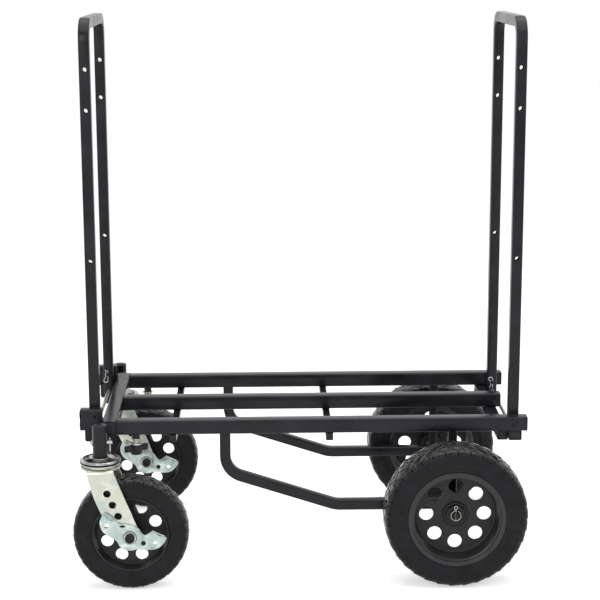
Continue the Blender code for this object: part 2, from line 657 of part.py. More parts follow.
def make_rear_axle():
    """The stepped axle rod, and the clips on its ends."""
    hub_outer_face = WHEEL_Y + REAR_HUB_OUTER + REAR_BUSH_FLANGE + 2 * WELD_GAP
    shoulder = WHEEL_Y - REAR_HUB_INNER - 2 * WELD_GAP
    end = hub_outer_face + JOURNAL_STICK_OUT
    profile = [(0.0, -end), (JOURNAL_RADIUS, -end), (JOURNAL_RADIUS, -shoulder), (AXLE_RADIUS, -shoulder),
               (AXLE_RADIUS, shoulder), (JOURNAL_RADIUS, shoulder), (JOURNAL_RADIUS, end), (0.0, end)]
    shape = bmesh.new()
    add_turned(shape, profile, (AXLE_X, 0.0, AXLE_Z), Y_AXIS, ROUND_SIDES)
    axle = make_part("rear_axle", shape, "bright_steel")
    clip_y = hub_outer_face + JOURNAL_STICK_OUT / 2
    holes = []
    for name, sign in SIDES:
        place = Vector((AXLE_X, sign * clip_y, AXLE_Z))
        holes.append(hole_along(Z_AXIS, place, 2 * JOURNAL_RADIUS, CLIP_HOLE_RADIUS))
        make_clip("axle_clip_" + name, place, JOURNAL_RADIUS, up=-1)
    drill(axle, holes, TINY_SIDES)


def make_inner_rail(name, y, pivot):
    """A tube of the front frame that slides inside an outer rail."""
    side = RAIL_SIDE - 2 * RAIL_WALL - 2 * SLIDE_GAP
    start_x = CROSS_TUBE_X + RAIL_SIDE / 2 + WELD_GAP
    shape = bmesh.new()
    path = [Vector((start_x, y, RAIL_Z)), Vector((start_x + INNER_RAIL_LENGTH, y, RAIL_Z))]
    add_square_tube(shape, path, Y_AXIS, side, RAIL_CORNER - RAIL_WALL, RAIL_WALL)
    make_part("inner_rail_" + name, shape, "bright_steel", pivot)


def bracket_middle(sign):
    """Middle of a handle bracket's box section."""
    return Vector((CROSS_TUBE_FRONT_X - BRACKET_LENGTH / 2, sign * (RAIL_INNER_FACE + BRACKET_WIDTH / 2),
                   LEFT_PIVOT.z + BRACKET_ABOVE_PIVOT - BRACKET_HEIGHT / 2))


def bracket_shape(sign):
    """Box section of a handle bracket, which reaches into the cross tube's wall."""
    outer = rounded_rectangle(BRACKET_WIDTH, BRACKET_HEIGHT, BRACKET_CORNER)
    bore = rounded_rectangle(BRACKET_WIDTH - 2 * BRACKET_WALL, BRACKET_HEIGHT - 2 * BRACKET_WALL,
                             BRACKET_CORNER - BRACKET_WALL)
    middle = bracket_middle(sign)
    front = middle - X_AXIS * (BRACKET_LENGTH / 2)
    rear = middle + X_AXIS * (BRACKET_LENGTH / 2 + RAIL_WALL / 2)
    shape = bmesh.new()
    add_tube(shape, [front, rear], Y_AXIS, outer, bore)
    return shape


def tab_shape(sign):
    """The flat tab that hangs from a handle bracket, beside the handle's foot."""
    middle = bracket_middle(sign)
    faces = sorted((sign * RAIL_INNER_FACE, sign * (RAIL_INNER_FACE + TAB_THICKNESS)))
    tab_x = middle.x - BRACKET_LENGTH / 2 + TAB_INSET
    bottom_z = middle.z - BRACKET_HEIGHT / 2
    shape = bmesh.new()
    add_block(shape, Vector((tab_x, faces[0], bottom_z - TAB_DROP)),
              Vector((tab_x + TAB_WIDTH, faces[1], bottom_z + 2 * BRACKET_CORNER)))
    return shape


def make_front_cross_tube(pivot):
    """The tube across the front ends of the inner rails, with the left handle's two brackets."""
    shape = bmesh.new()
    path = [Vector((CROSS_TUBE_X, y, RAIL_Z)) for y in (-RAIL_OUTER_FACE, RAIL_OUTER_FACE)]
    add_square_tube(shape, path, X_AXIS, RAIL_SIDE, RAIL_CORNER, RAIL_WALL)
    cross_tube = make_part("front_cross_tube", shape, "powder_coat", pivot)
    holes = []
    for _, sign in SIDES:
        add_boolean(cross_tube, bracket_shape(sign), "UNION")
        add_boolean(cross_tube, tab_shape(sign), "UNION")
        middle = Vector((LEFT_PIVOT.x, bracket_middle(sign).y, LEFT_PIVOT.z))
        holes.append(hole_along(Y_AXIS, middle, BRACKET_WIDTH, PIN_HOLE_RADIUS))
    drill(cross_tube, holes)


def make_bracket_cap(name, sign, pivot):
    """Cap on a bracket's front end, whose outline bulges in two lobes, one above the other."""
    middle = bracket_middle(sign)
    face_x = middle.x - BRACKET_LENGTH / 2 - WELD_GAP
    lobe = BRACKET_HEIGHT / 4
    outline = []
    for lobe_z in (middle.z - lobe, middle.z + lobe):
        for degrees in (-90, -60, -30, 0, 30, 60, 90):
            angle = math.radians(degrees)
            outline.append((face_x - 0.2 * BRACKET_CAP - 0.8 * BRACKET_CAP * math.cos(angle),
                            lobe_z + lobe * math.sin(angle)))
    outline.remove(outline[7])
    outline += [(face_x, middle.z + 2 * lobe), (face_x, middle.z - 2 * lobe)]
    shape = bmesh.new()
    add_prism(shape, outline, Y_AXIS, middle.y - BRACKET_WIDTH / 2, middle.y + BRACKET_WIDTH / 2)
    make_part("bracket_cap_" + name, shape, "black_plastic", pivot)


def make_socket(name, sign, pivot):
    """An upright tube for a caster's stem, with the arm that joins it to the cross tube, its pin and clip."""
    y = sign * STEM_Y
    shape = bmesh.new()
    add_rod(shape, (STEM_X, y, SOCKET_FOOT_Z), (STEM_X, y, SOCKET_TOP_Z), SOCKET_RADIUS, ROUND_SIDES)
    socket = make_part("caster_socket_" + name, shape, "powder_coat", pivot)
    arm = bmesh.new()
    arm_z = RAIL_Z - ARM_BELOW_RAIL
    path = [Vector((STEM_X, sign * (RAIL_OUTER_FACE + WELD_GAP), arm_z)), Vector((STEM_X, y, arm_z))]
    add_square_tube(arm, path, X_AXIS, ARM_SIDE, SMALL_TUBE_CORNER)
    add_boolean(socket, arm, "UNION")
    middle = Vector((STEM_X, y, (SOCKET_FOOT_Z + SOCKET_TOP_Z) / 2))
    drill(socket, [hole_along(Z_AXIS, middle, SOCKET_LENGTH, SOCKET_RADIUS - SOCKET_WALL)], ROUND_SIDES)
    pin_middle = Vector((STEM_X, y, SOCKET_PIN_Z))
    drill(socket, [hole_along(X_AXIS, pin_middle, 2 * SOCKET_RADIUS, PIN_HOLE_RADIUS)])
    head = pin_middle - X_AXIS * (SOCKET_RADIUS + WELD_GAP)
    clip_reach = 2 * SOCKET_RADIUS + WELD_GAP + CLIP_FROM_FACE
    length = clip_reach - CLIP_FROM_FACE + PIN_STICK_OUT
    make_pin("socket_pin_" + name, head, X_AXIS, length, clip_reach, pivot)
    make_clip("socket_clip_" + name, head + X_AXIS * clip_reach, PIN_RADIUS, pivot, turn=90.0)


def make_stem(name, sign, pivot):
    """The stem pinned in a socket, with its collar, the dished upper race and the headed kingpin."""
    stem_radius = SOCKET_RADIUS - SOCKET_WALL - RUNNING_GAP
    collar_z = SOCKET_FOOT_Z - WELD_GAP
    rim_z = SWIVEL_FOOT_Z + SWIVEL_HEIGHT
    floor_z = SWIVEL_FOOT_Z + SWIVEL_FLOOR
    head_top_z = CROWN_TOP_Z - FORK_PLATE - WELD_GAP
    dome_reach, dome_share = 0.6, 0.8
    profile = [
        (0.0, SOCKET_TOP_Z + STEM_DOME), (dome_reach * stem_radius, SOCKET_TOP_Z + dome_share * STEM_DOME),
        (stem_radius, SOCKET_TOP_Z), (stem_radius, collar_z), (COLLAR_RADIUS, collar_z),
        (COLLAR_RADIUS, floor_z), (SWIVEL_RADIUS - SWIVEL_WALL_FOOT, floor_z),
        (SWIVEL_RADIUS - SWIVEL_WALL_TOP, rim_z - SWIVEL_LIP_ROUND), (SWIVEL_RADIUS - SWIVEL_LIP, rim_z),
        (SWIVEL_RADIUS - SWIVEL_LIP_EDGE, rim_z - SWIVEL_LIP_FALL),
        (SWIVEL_RADIUS, (rim_z + SWIVEL_FOOT_Z) / 2), (SWIVEL_RADIUS - SWIVEL_FOOT_INSET, SWIVEL_FOOT_Z),
        (KINGPIN_RADIUS, SWIVEL_FOOT_Z), (KINGPIN_RADIUS, head_top_z), (KINGPIN_HEAD_RADIUS, head_top_z),
        (KINGPIN_HEAD_RADIUS, head_top_z - KINGPIN_HEAD_HEIGHT), (0.0, head_top_z - KINGPIN_HEAD_HEIGHT),
    ]
    shape = bmesh.new()
    add_turned(shape, profile, (STEM_X, sign * STEM_Y, 0.0), Z_AXIS, ROUND_SIDES)
    stem = make_part("caster_stem_" + name, shape, "bright_steel", pivot)
    middle = Vector((STEM_X, sign * STEM_Y, SOCKET_PIN_Z))
    drill(stem, [hole_along(X_AXIS, middle, 2 * SOCKET_RADIUS, PIN_HOLE_RADIUS)])


def fork_edges(point):
    """Where the fork plate's front and rear edges are along X from the stem, beside a point of its path."""
    if point.z > CROWN_TOP_Z - FORK_PLATE:
        half = max(FORK_TOP_HALF_WIDTH, math.sqrt(FORK_CROWN_RADIUS ** 2 - point.y ** 2))
        return -half, half
    below_eye = CASTER_AXLE_Z - point.z
    if below_eye > FORK_EYE_START:
        half = math.sqrt(FORK_EYE_RADIUS ** 2 - below_eye ** 2)
        return CASTER_TRAIL - half, CASTER_TRAIL + half
    share = min((CROWN_TOP_Z - point.z) / (CROWN_TOP_Z - CASTER_AXLE_Z), 1.0)
    front_run = CASTER_TRAIL - FORK_EYE_RADIUS + FORK_TOP_HALF_WIDTH
    rear_run = CASTER_TRAIL + FORK_EYE_RADIUS - FORK_TOP_HALF_WIDTH
    front = -FORK_TOP_HALF_WIDTH + front_run * (share + share ** 3) / 2
    rear = FORK_TOP_HALF_WIDTH + rear_run * share
    return front, rear


def fork_path():
    """Centreline of the bent fork plate in the YZ plane, from one eye over the crown to the other."""
    half = FORK_INNER_FACE + FORK_PLATE / 2
    crown_z = CROWN_TOP_Z - FORK_PLATE / 2
    leg_height = crown_z - FORK_BEND_RADIUS - CASTER_AXLE_Z
    eye_angles = (84, 70, 54, 36, 18)
    leg_shares = (0.0, 0.15, 0.35, 0.65)
    crown_angles = (-30, -15, 0, 15, 30)
    heights = [CASTER_AXLE_Z - FORK_EYE_RADIUS * math.sin(math.radians(angle)) for angle in eye_angles]
    heights += [CASTER_AXLE_Z + share * leg_height for share in leg_shares]
    top_z = heights[-1]
    corners = [(0.0, -half, top_z), (0.0, -half, crown_z), (0.0, half, crown_z), (0.0, half, top_z)]
    bend_steps = 4
    bends = filleted_path(corners, (FORK_BEND_RADIUS, FORK_BEND_RADIUS), bend_steps)[1:-1]
    crown = [Vector((0.0, FORK_CROWN_RADIUS * math.sin(math.radians(angle)), crown_z))
             for angle in crown_angles]
    near_leg = [Vector((0.0, -half, z)) for z in heights]
    far_leg = [Vector((0.0, half, z)) for z in reversed(heights)]
    return near_leg + bends[:bend_steps + 1] + crown + bends[bend_steps + 1:] + far_leg


def make_fork(name, y, pivot):
    """The bent plate that straddles the wheel, drilled along both legs."""
    stem = Vector((STEM_X, y, 0.0))
    path = fork_path()
    sections = []
    for point in path:
        front, rear = fork_edges(point)
        sections.append([(front, -FORK_PLATE / 2), (rear, -FORK_PLATE / 2), (rear, FORK_PLATE / 2),
                         (front, FORK_PLATE / 2)])
    shape = bmesh.new()
    rings = section_rings(path, sections, X_AXIS)
    rows = add_skin(shape, [[stem + point for point in ring] for ring in rings])
    shape.faces.new(rows[0])
    shape.faces.new(rows[-1])
    fork = make_part("caster_fork_" + name, shape, "zinc_plate", pivot)
    reach = 2 * FORK_OUTER_FACE
    crown = stem + Z_AXIS * CROWN_TOP_Z
    axle = Vector((CASTER_AXLE_X, y, CASTER_AXLE_Z))
    holes = [hole_along(Z_AXIS, crown, 4 * FORK_PLATE, KINGPIN_RADIUS + RUNNING_GAP),
             hole_along(Y_AXIS, axle, reach, CASTER_BOLT_RADIUS + WELD_GAP)]
    rows_of_holes = [(height, FORK_HOLE_RADIUS) for height in FORK_HOLE_HEIGHTS]
    rows_of_holes.append((FORK_SLOT_HEIGHT, FORK_SLOT_RADIUS))
    for height, radius in rows_of_holes:
        x = CASTER_AXLE_X - FORK_HOLE_SETBACK - height * math.tan(math.radians(FORK_HOLE_LEAN))
        holes.append(hole_along(Y_AXIS, Vector((x, y, CASTER_AXLE_Z + height)), reach, radius))
    drill(fork, holes)


def make_caster_bolt(name, y, pivot):
    """The axle bolt of a caster with its flanged head, and its nut with the bolt's end standing out of it."""
    far_seat = FORK_OUTER_FACE + WELD_GAP
    near_seat = far_seat + BRAKE_PLATE + WELD_GAP
    grip = CASTER_BOLT_FLANGE + CASTER_BOLT_HEAD_HEIGHT
    profile = [
        (0.0, -near_seat - grip), (CASTER_BOLT_HEAD_RADIUS, -near_seat - grip),
        (CASTER_BOLT_HEAD_RADIUS, -near_seat - CASTER_BOLT_FLANGE),
        (CASTER_BOLT_FLANGE_RADIUS, -near_seat - CASTER_BOLT_FLANGE), (CASTER_BOLT_FLANGE_RADIUS, -near_seat),
        (CASTER_BOLT_RADIUS, -near_seat), (CASTER_BOLT_RADIUS, far_seat),
        (CASTER_BOLT_FLANGE_RADIUS, far_seat), (CASTER_BOLT_FLANGE_RADIUS, far_seat + CASTER_BOLT_FLANGE),
        (CASTER_BOLT_HEAD_RADIUS, far_seat + CASTER_BOLT_FLANGE),
        (CASTER_BOLT_HEAD_RADIUS, far_seat + grip), (CASTER_BOLT_RADIUS, far_seat + grip),
        (CASTER_BOLT_RADIUS, near_seat + grip), (0.0, near_seat + grip),
    ]
    shape = bmesh.new()
    add_turned(shape, profile, (CASTER_AXLE_X, y, CASTER_AXLE_Z), Y_AXIS, SMALL_SIDES)
    make_part("caster_axle_bolt_" + name, shape, "zinc_plate", pivot)


def make_brake_plate(name, y, parent):
    """The pedal plate outside the near leg of a fork, which turns about the axle."""
    axle = Vector((CASTER_AXLE_X, y, CASTER_AXLE_Z))
    pivot = add_pivot("brake_plate_pivot_" + name, axle, parent)
    inner_y = y - FORK_OUTER_FACE - WELD_GAP
    shape = bmesh.new()
    outline = [(axle.x + a * MM, axle.z + b * MM) for a, b in BRAKE_OUTLINE]
    add_prism(shape, outline, Y_AXIS, inner_y - BRAKE_PLATE, inner_y)
    plate = make_part("brake_plate_" + name, shape, "zinc_plate", pivot)
    axle_at_plate = Vector((axle.x, inner_y, axle.z))
    holes = [hole_along(Y_AXIS, axle_at_plate, 2 * BRAKE_PLATE, CASTER_BOLT_RADIUS + RUNNING_GAP)]
    for a, b, radius in BRAKE_HOLES:
        middle = Vector((axle.x + a * MM, inner_y, axle.z + b * MM))
        holes.append(hole_along(Y_AXIS, middle, 2 * BRAKE_PLATE, radius * MM))
    drill(plate, holes)


def rim_side(size, hub_face):
    """Points (radius, height) from a hub's bore over its face, the recessed disc and the lip."""
    half_rim = size["width"] / 2 - RIM_INSET
    half_disc = size["disc_thickness"] / 2
    barrel = size["disc"] + BARREL_DEPTH
    step_radius = size["disc"] + RIM_STEP * (size["rim"] - size["disc"])
    return [(size["bush"] + WELD_GAP, hub_face), (size["hub"], hub_face), (size["hub"], half_disc),
            (size["disc"], half_disc), (step_radius, half_rim - RIM_INSET), (size["rim"], half_rim),
            (barrel, half_rim - 2 * RIM_INSET)]


def rim_profile(size, sign):
    """Loop of (radius, height) points round a rim, with the hub's outer face on the side of the sign."""
    outer = rim_side(size, size["hub_outer"])
    inner = [(radius, -height) for radius, height in reversed(rim_side(size, size["hub_inner"]))]
    return [(radius, sign * height) for radius, height in outer + inner]


def tyre_profile(size):
    """Loop of (radius, height) points round a solid tyre that fits its rim."""
    half_rim = size["width"] / 2 - RIM_INSET
    half_width = size["width"] / 2
    barrel = size["disc"] + BARREL_DEPTH
    depth = size["radius"] - size["rim"]
    half = [(barrel + WELD_GAP, half_rim - 2 * RIM_INSET - 3 * WELD_GAP),
            (size["rim"] + 3 * WELD_GAP, half_rim - WELD_GAP),
            (size["rim"] + TYRE_SIDE_START * depth, half_width),
            (size["rim"] + TYRE_SIDE_END * depth, half_width - TYRE_SIDE_FALL * depth),
            (size["radius"] - TYRE_SHOULDER_FALL * depth, TYRE_SHOULDER_REACH * half_width),
            (size["radius"], TYRE_CROWN_REACH * half_width)]
    return mirrored_loop(half)


def bush_profile(size, sign):
    """Loop of (radius, height) points round a bush whose flange lies on the hub's outer face."""
    foot = -size["hub_inner"]
    bore = size["shaft"] + RUNNING_GAP
    seat = size["hub_outer"] + WELD_GAP
    face = seat + size["flange_thickness"]
    loop = [(bore, foot), (size["bush"], foot), (size["bush"], seat), (size["flange"], seat),
            (size["flange"], face), (bore, face)]
    return [(radius, sign * height) for radius, height in loop]


def make_wheel(kind, name, centre, size, flange_sign, parent=None):
    """Tyre, rim and bush of one wheel, on a pivot in the middle of its axle."""
    pivot = add_pivot(kind + "_wheel_pivot_" + name, centre, parent)
    shape = bmesh.new()
    add_turned(shape, rim_profile(size, flange_sign), centre, Y_AXIS, size["sides"])
    rim = make_part(kind + "_rim_" + name, shape, "black_plastic", pivot)
    holes = []
    for index in range(WHEEL_HOLES):
        angle = math.radians(size["first_hole"] + 360 * index / WHEEL_HOLES)
        middle = centre + Vector((math.cos(angle), 0.0, math.sin(angle))) * size["hole_circle"]
        holes.append(hole_along(Y_AXIS, middle, 2 * size["disc_thickness"], size["hole"]))
    drill(rim, holes)
    shape = bmesh.new()
    add_turned(shape, tyre_profile(size), centre, Y_AXIS, size["sides"])
    make_part(kind + "_tyre_" + name, shape, "rubber", pivot)
    shape = bmesh.new()
    add_turned(shape, bush_profile(size, flange_sign), centre, Y_AXIS, ROUND_SIDES)
    make_part(kind + "_hub_bush_" + name, shape, "bright_steel", pivot)


def make_rear_wheels():
    """The two large wheels on the rear axle."""
    size = {
        "radius": REAR_WHEEL_RADIUS, "width": REAR_TYRE_WIDTH, "rim": REAR_RIM_RADIUS,
        "disc": REAR_DISC_RADIUS, "disc_thickness": REAR_DISC_THICKNESS, "hub": REAR_HUB_RADIUS,
        "hub_outer": REAR_HUB_OUTER, "hub_inner": REAR_HUB_INNER,
        "hole_circle": REAR_HOLE_CIRCLE, "hole": REAR_HOLE_RADIUS,
        "first_hole": 0.0, "bush": REAR_BUSH_RADIUS, "flange": REAR_BUSH_FLANGE_RADIUS,
        "flange_thickness": REAR_BUSH_FLANGE, "shaft": JOURNAL_RADIUS, "sides": REAR_WHEEL_SIDES,
    }
    for name, sign in SIDES:
        make_wheel("rear", name, Vector((AXLE_X, sign * WHEEL_Y, AXLE_Z)), size, sign)


def make_casters(front_pivot):
    """The two swivel casters: fork, bolt, wheel and brake plate on a swivel pivot."""
    size = {
        "radius": CASTER_WHEEL_RADIUS, "width": CASTER_TYRE_WIDTH, "rim": CASTER_RIM_RADIUS,
        "disc": CASTER_DISC_RADIUS, "disc_thickness": CASTER_DISC_THICKNESS, "hub": CASTER_HUB_RADIUS,
        "hub_outer": CASTER_HUB_LENGTH / 2, "hub_inner": CASTER_HUB_LENGTH / 2,
        "hole_circle": CASTER_HOLE_CIRCLE, "hole": CASTER_HOLE_RADIUS,
        "first_hole": 180.0 / WHEEL_HOLES, "bush": CASTER_BUSH_RADIUS, "flange": CASTER_BUSH_FLANGE_RADIUS,
        "flange_thickness": CASTER_BUSH_FLANGE, "shaft": CASTER_BOLT_RADIUS, "sides": CASTER_WHEEL_SIDES,
    }
    for name, sign in SIDES:
        y = sign * STEM_Y
        swivel = add_pivot("caster_swivel_pivot_" + name, (STEM_X, y, SWIVEL_FOOT_Z), front_pivot)
        make_fork(name, y, swivel)
        make_caster_bolt(name, y, swivel)
        make_wheel("caster", name, Vector((CASTER_AXLE_X, y, CASTER_AXLE_Z)), size, -1, swivel)
        make_brake_plate(name, y, swivel)


def make_handle(name, pivot_place, foot_below, rod_below, parent=None):
    """A U-shaped handle with three holes a leg, and its cross rod."""
    pivot = add_pivot(name + "_pivot", pivot_place, parent)
    x = pivot_place.x
    foot_z = pivot_place.z - foot_below
    rod_z = pivot_place.z - rod_below
    top_z = HANDLE_TOP - HANDLE_SIDE / 2
    corners = [(x, -LEG_Y, foot_z), (x, -LEG_Y, top_z), (x, LEG_Y, top_z), (x, LEG_Y, foot_z)]
    shape = bmesh.new()
    path = filleted_path(corners, (HANDLE_BEND, HANDLE_BEND))
    add_square_tube(shape, path, X_AXIS, HANDLE_SIDE, HANDLE_CORNER, HANDLE_WALL)
    handle = make_part(name, shape, "powder_coat", pivot)
    holes = [(HANDLE_TOP - below, HANDLE_HOLE_RADIUS) for below in HANDLE_HOLES_BELOW_TOP]
    holes += [(pivot_place.z, PIN_HOLE_RADIUS), (rod_z, ROD_RADIUS + WELD_GAP)]
    reach = LEG_Y + HANDLE_SIDE
    drill(handle, [hole_along(Y_AXIS, Vector((x, 0.0, z)), reach, radius) for z, radius in holes], TINY_SIDES)
    shape = bmesh.new()
    add_rod(shape, (x, -LEG_OUTER_FACE, rod_z), (x, LEG_OUTER_FACE, rod_z), ROD_RADIUS)
    make_part(name + "_rod", shape, "zinc_plate", pivot)


def knob_outline(centre):
    """Plan of a knob's wings, joined through its middle."""
    points = []
    for index in range(KNOB_WINGS):
        wing = KNOB_WING_ANGLE + 360 * index / KNOB_WINGS
        tip = centre + (KNOB_WING_REACH - KNOB_WING_RADIUS) * direction_in_plan(wing)
        for turn in (-90, -45, 0, 45, 90):
            points.append(tip + KNOB_WING_RADIUS * direction_in_plan(wing + turn))
    return [(point.x, point.y) for point in points]


def direction_in_plan(degrees):
    """Unit vector in the XY plane."""
    angle = math.radians(degrees)
    return Vector((math.cos(angle), math.sin(angle)))


def make_lock_knob(name, y):
    """A winged knob moulded on the stud that clamps an inner rail."""
    ferrule_top_z = BOSS_FOOT_Z - RUNNING_GAP
    body_top_z = ferrule_top_z - FERRULE_HEIGHT
    body_foot_z = body_top_z - KNOB_HEIGHT
    stud_top_z = RAIL_BOTTOM_Z + RAIL_WALL + SLIDE_GAP - WELD_GAP
    profile = [
        (0.0, stud_top_z), (SCREW_RADIUS, stud_top_z), (SCREW_RADIUS, ferrule_top_z),
        (FERRULE_RADIUS, ferrule_top_z), (FERRULE_RADIUS, body_top_z), (KNOB_RADIUS, body_top_z - WELD_GAP),
        (KNOB_RADIUS, body_foot_z + KNOB_CHAMFER), (KNOB_RADIUS - KNOB_CHAMFER, body_foot_z),
        (0.0, body_foot_z),
    ]
    pivot = add_pivot("lock_knob_pivot_" + name, (KNOB_X, y, BOSS_FOOT_Z))
    shape = bmesh.new()
    add_turned(shape, profile, (KNOB_X, y, 0.0), Z_AXIS, ROUND_SIDES)
    knob = make_part("lock_knob_" + name, shape, "black_plastic", pivot)
    wings = bmesh.new()
    foot_z = body_foot_z + KNOB_WING_LIFT
    add_prism(wings, knob_outline(Vector((KNOB_X, y))), Z_AXIS, foot_z, foot_z + KNOB_WING_HEIGHT)
    add_boolean(knob, wings, "UNION")


def make_rear_frame():
    """Everything that is welded, pinned or plugged to the outer rails."""
    centre_rear_x = RAIL_REAR_X - CENTRE_RAIL_SETBACK
    make_outer_rail("centre", 0.0, centre_rear_x)
    make_plug("rail_end_cap_centre", Vector((centre_rear_x, 0.0, RAIL_Z)), X_AXIS, RAIL_SIDE)
    for name, sign in SIDES:
        y = sign * RAIL_SPACING
        rail = make_outer_rail(name, y, RAIL_REAR_X)
        add_rail_fittings(rail, y)
        make_plug("rail_end_cap_" + name, Vector((RAIL_REAR_X, y, RAIL_Z)), X_AXIS, RAIL_SIDE)
        make_strut(name, y)
        make_hinge_pin("rear_hinge_*_" + name, RIGHT_PIVOT, sign, RAIL_OUTER_FACE, -1)
        make_lock_knob(name, y)
    for name, offset in UNDER_BARS:
        make_under_bar(name, offset)
    make_rear_cross_tube()
    make_rear_axle()


def make_front_frame(front_pivot):
    """Everything that slides out with the inner rails, apart from what turns on it."""
    bracket_outer_face = RAIL_INNER_FACE + BRACKET_WIDTH
    make_front_cross_tube(front_pivot)
    make_inner_rail("centre", 0.0, front_pivot)
    for name, sign in SIDES:
        make_inner_rail(name, sign * RAIL_SPACING, front_pivot)
        make_bracket_cap(name, sign, front_pivot)
        make_socket(name, sign, front_pivot)
        make_stem(name, sign, front_pivot)
        make_hinge_pin("front_hinge_*_" + name, LEFT_PIVOT, sign, bracket_outer_face, 1, front_pivot)


def main():
    clear_scene()
    front_pivot = add_pivot("front_frame_pivot", (CROSS_TUBE_X, 0.0, RAIL_Z))
    make_rear_frame()
    make_front_frame(front_pivot)
    make_handle("left_handle", LEFT_PIVOT, LEFT_FOOT_BELOW_PIVOT, LEFT_ROD_BELOW_PIVOT, front_pivot)
    make_handle("right_handle", RIGHT_PIVOT, RIGHT_FOOT_BELOW_PIVOT, RIGHT_ROD_BELOW_PIVOT)
    make_casters(front_pivot)
    make_rear_wheels()


main()
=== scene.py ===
"""Looks of a telescoping equipment cart: a tube deck, two folding handles, two fixed wheels and two casters.

Metres, +Z up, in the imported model's own frame. The origin is on the floor under the middle of the cart, +X
points to the end with the large wheels, "near" is the -Y side and "far" is the +Y side.
"""

import json
import logging
import math
from collections.abc import Sequence
from dataclasses import dataclass, field
from enum import Enum

import bmesh
import bpy
import numpy as np
from mathutils import Matrix

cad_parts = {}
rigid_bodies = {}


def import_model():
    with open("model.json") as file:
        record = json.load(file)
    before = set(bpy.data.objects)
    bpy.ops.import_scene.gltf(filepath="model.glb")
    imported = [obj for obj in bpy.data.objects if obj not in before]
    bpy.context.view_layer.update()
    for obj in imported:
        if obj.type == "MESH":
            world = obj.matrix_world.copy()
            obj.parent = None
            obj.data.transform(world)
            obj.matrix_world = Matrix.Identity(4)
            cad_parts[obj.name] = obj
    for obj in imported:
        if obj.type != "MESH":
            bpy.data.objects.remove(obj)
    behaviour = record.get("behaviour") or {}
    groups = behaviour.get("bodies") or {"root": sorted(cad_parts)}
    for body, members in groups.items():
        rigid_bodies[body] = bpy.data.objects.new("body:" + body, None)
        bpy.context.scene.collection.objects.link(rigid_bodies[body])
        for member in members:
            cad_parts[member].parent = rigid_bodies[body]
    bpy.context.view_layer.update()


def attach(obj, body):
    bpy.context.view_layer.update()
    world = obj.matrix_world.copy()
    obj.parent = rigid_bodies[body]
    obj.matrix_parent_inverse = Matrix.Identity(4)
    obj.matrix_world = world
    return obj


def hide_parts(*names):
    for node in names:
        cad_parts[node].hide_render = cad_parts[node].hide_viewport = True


LOG = logging.getLogger("cart")
MM = 0.001
Array = np.ndarray
Triple = tuple[float, float, float]
Colour = Triple

X_AXIS = np.array([1.0, 0.0, 0.0])
Y_AXIS = np.array([0.0, 1.0, 0.0])
Z_AXIS = np.array([0.0, 0.0, 1.0])

SIGNS = (-1, 1)
# Small play of holes and rings, and small overlap or step of welded parts
FIT = 0.2 * MM
# Play of a plug in its tube, its depth and the bevel on its edges
PLUG_PLAY = 0.4 * MM
PLUG_DEPTH = 8.0 * MM
PLUG_BEVEL = 0.4 * MM
# Angle in degrees above which an edge of a weld bead or a wire looks sharp
ROUND_CREASE = 60.0


class Side(Enum):
    """The two long sides of the cart, each with the sign of its Y."""

    NEAR = -1
    FAR = 1

    @property
    def label(self) -> str:
        """Word for this side in the names of pieces."""
        return self.name.lower()

    @property
    def sign(self) -> int:
        """Sign of Y on this side."""
        return self.value


def point(x: float, y: float, z: float) -> Array:
    """A point or a direction."""
    return np.array([x, y, z], dtype=float)


def unit(vectors: Array) -> Array:
    """Vectors of the same directions and of length one."""
    return vectors / np.linalg.norm(vectors, axis=-1, keepdims=True)


@dataclass
class Surface:
    """Points and faces of a closed skin, before it becomes a mesh."""

    points: Array
    quads: Array
    caps: list[list[int]] = field(default_factory=list)

    @classmethod
    def from_grid(cls, grid: Array, wrap_rows: bool = False, capped: bool = True) -> "Surface":
        """Skin over a grid of points whose columns always wrap.

        Formula: the face at row i and column j joins the points (i, j), (i, j + 1), (i + 1, j + 1) and (i +
        1, j).

        Args:
            grid: Points as rows by columns by three.
            wrap_rows: The last row joins the first one.
            capped: The first and the last row each get a flat face, unless the rows wrap.

        Returns:
            The skin.
        """
        rows, columns = grid.shape[:2]
        last_row = rows if wrap_rows else rows - 1
        row, column = np.meshgrid(np.arange(last_row), np.arange(columns), indexing="ij")
        next_row = (row + 1) % rows
        next_column = (column + 1) % columns
        corners = [row * columns + column, row * columns + next_column]
        corners += [next_row * columns + next_column, next_row * columns + column]
        quads = np.stack(corners, axis=-1).reshape(-1, 4)
        caps = []
        if capped and not wrap_rows:
            caps = [list(range(columns)), list(range((rows - 1) * columns, rows * columns))]
        return cls(grid.reshape(-1, 3), quads, caps)

    @classmethod
    def joined(cls, parts: Sequence["Surface"]) -> "Surface":
        """Several skins as one."""
        starts = np.cumsum([0] + [len(part.points) for part in parts])
        points = np.concatenate([part.points for part in parts])
        quads = np.concatenate([part.quads + start for part, start in zip(parts, starts)])
        caps = [[index + int(start) for index in cap]
                for part, start in zip(parts, starts) for cap in part.caps]
        return cls(points, quads, caps)

    def to_mesh(self, name: str) -> bpy.types.Mesh:
        """The skin as a mesh whose doubles are merged and whose faces point outwards."""
        mesh = bpy.data.meshes.new(name)
        mesh.from_pydata(self.points.tolist(), [], self.quads.tolist() + self.caps)
        settle_mesh(mesh)
        return mesh


def settle_mesh(mesh: bpy.types.Mesh) -> None:
    """Merges points that coincide and turns the faces outwards."""
    shape = bmesh.new()
    shape.from_mesh(mesh)
    bmesh.ops.remove_doubles(shape, verts=shape.verts, dist=1e-6)
    bmesh.ops.recalc_face_normals(shape, faces=shape.faces)
    shape.to_mesh(mesh)
    shape.free()


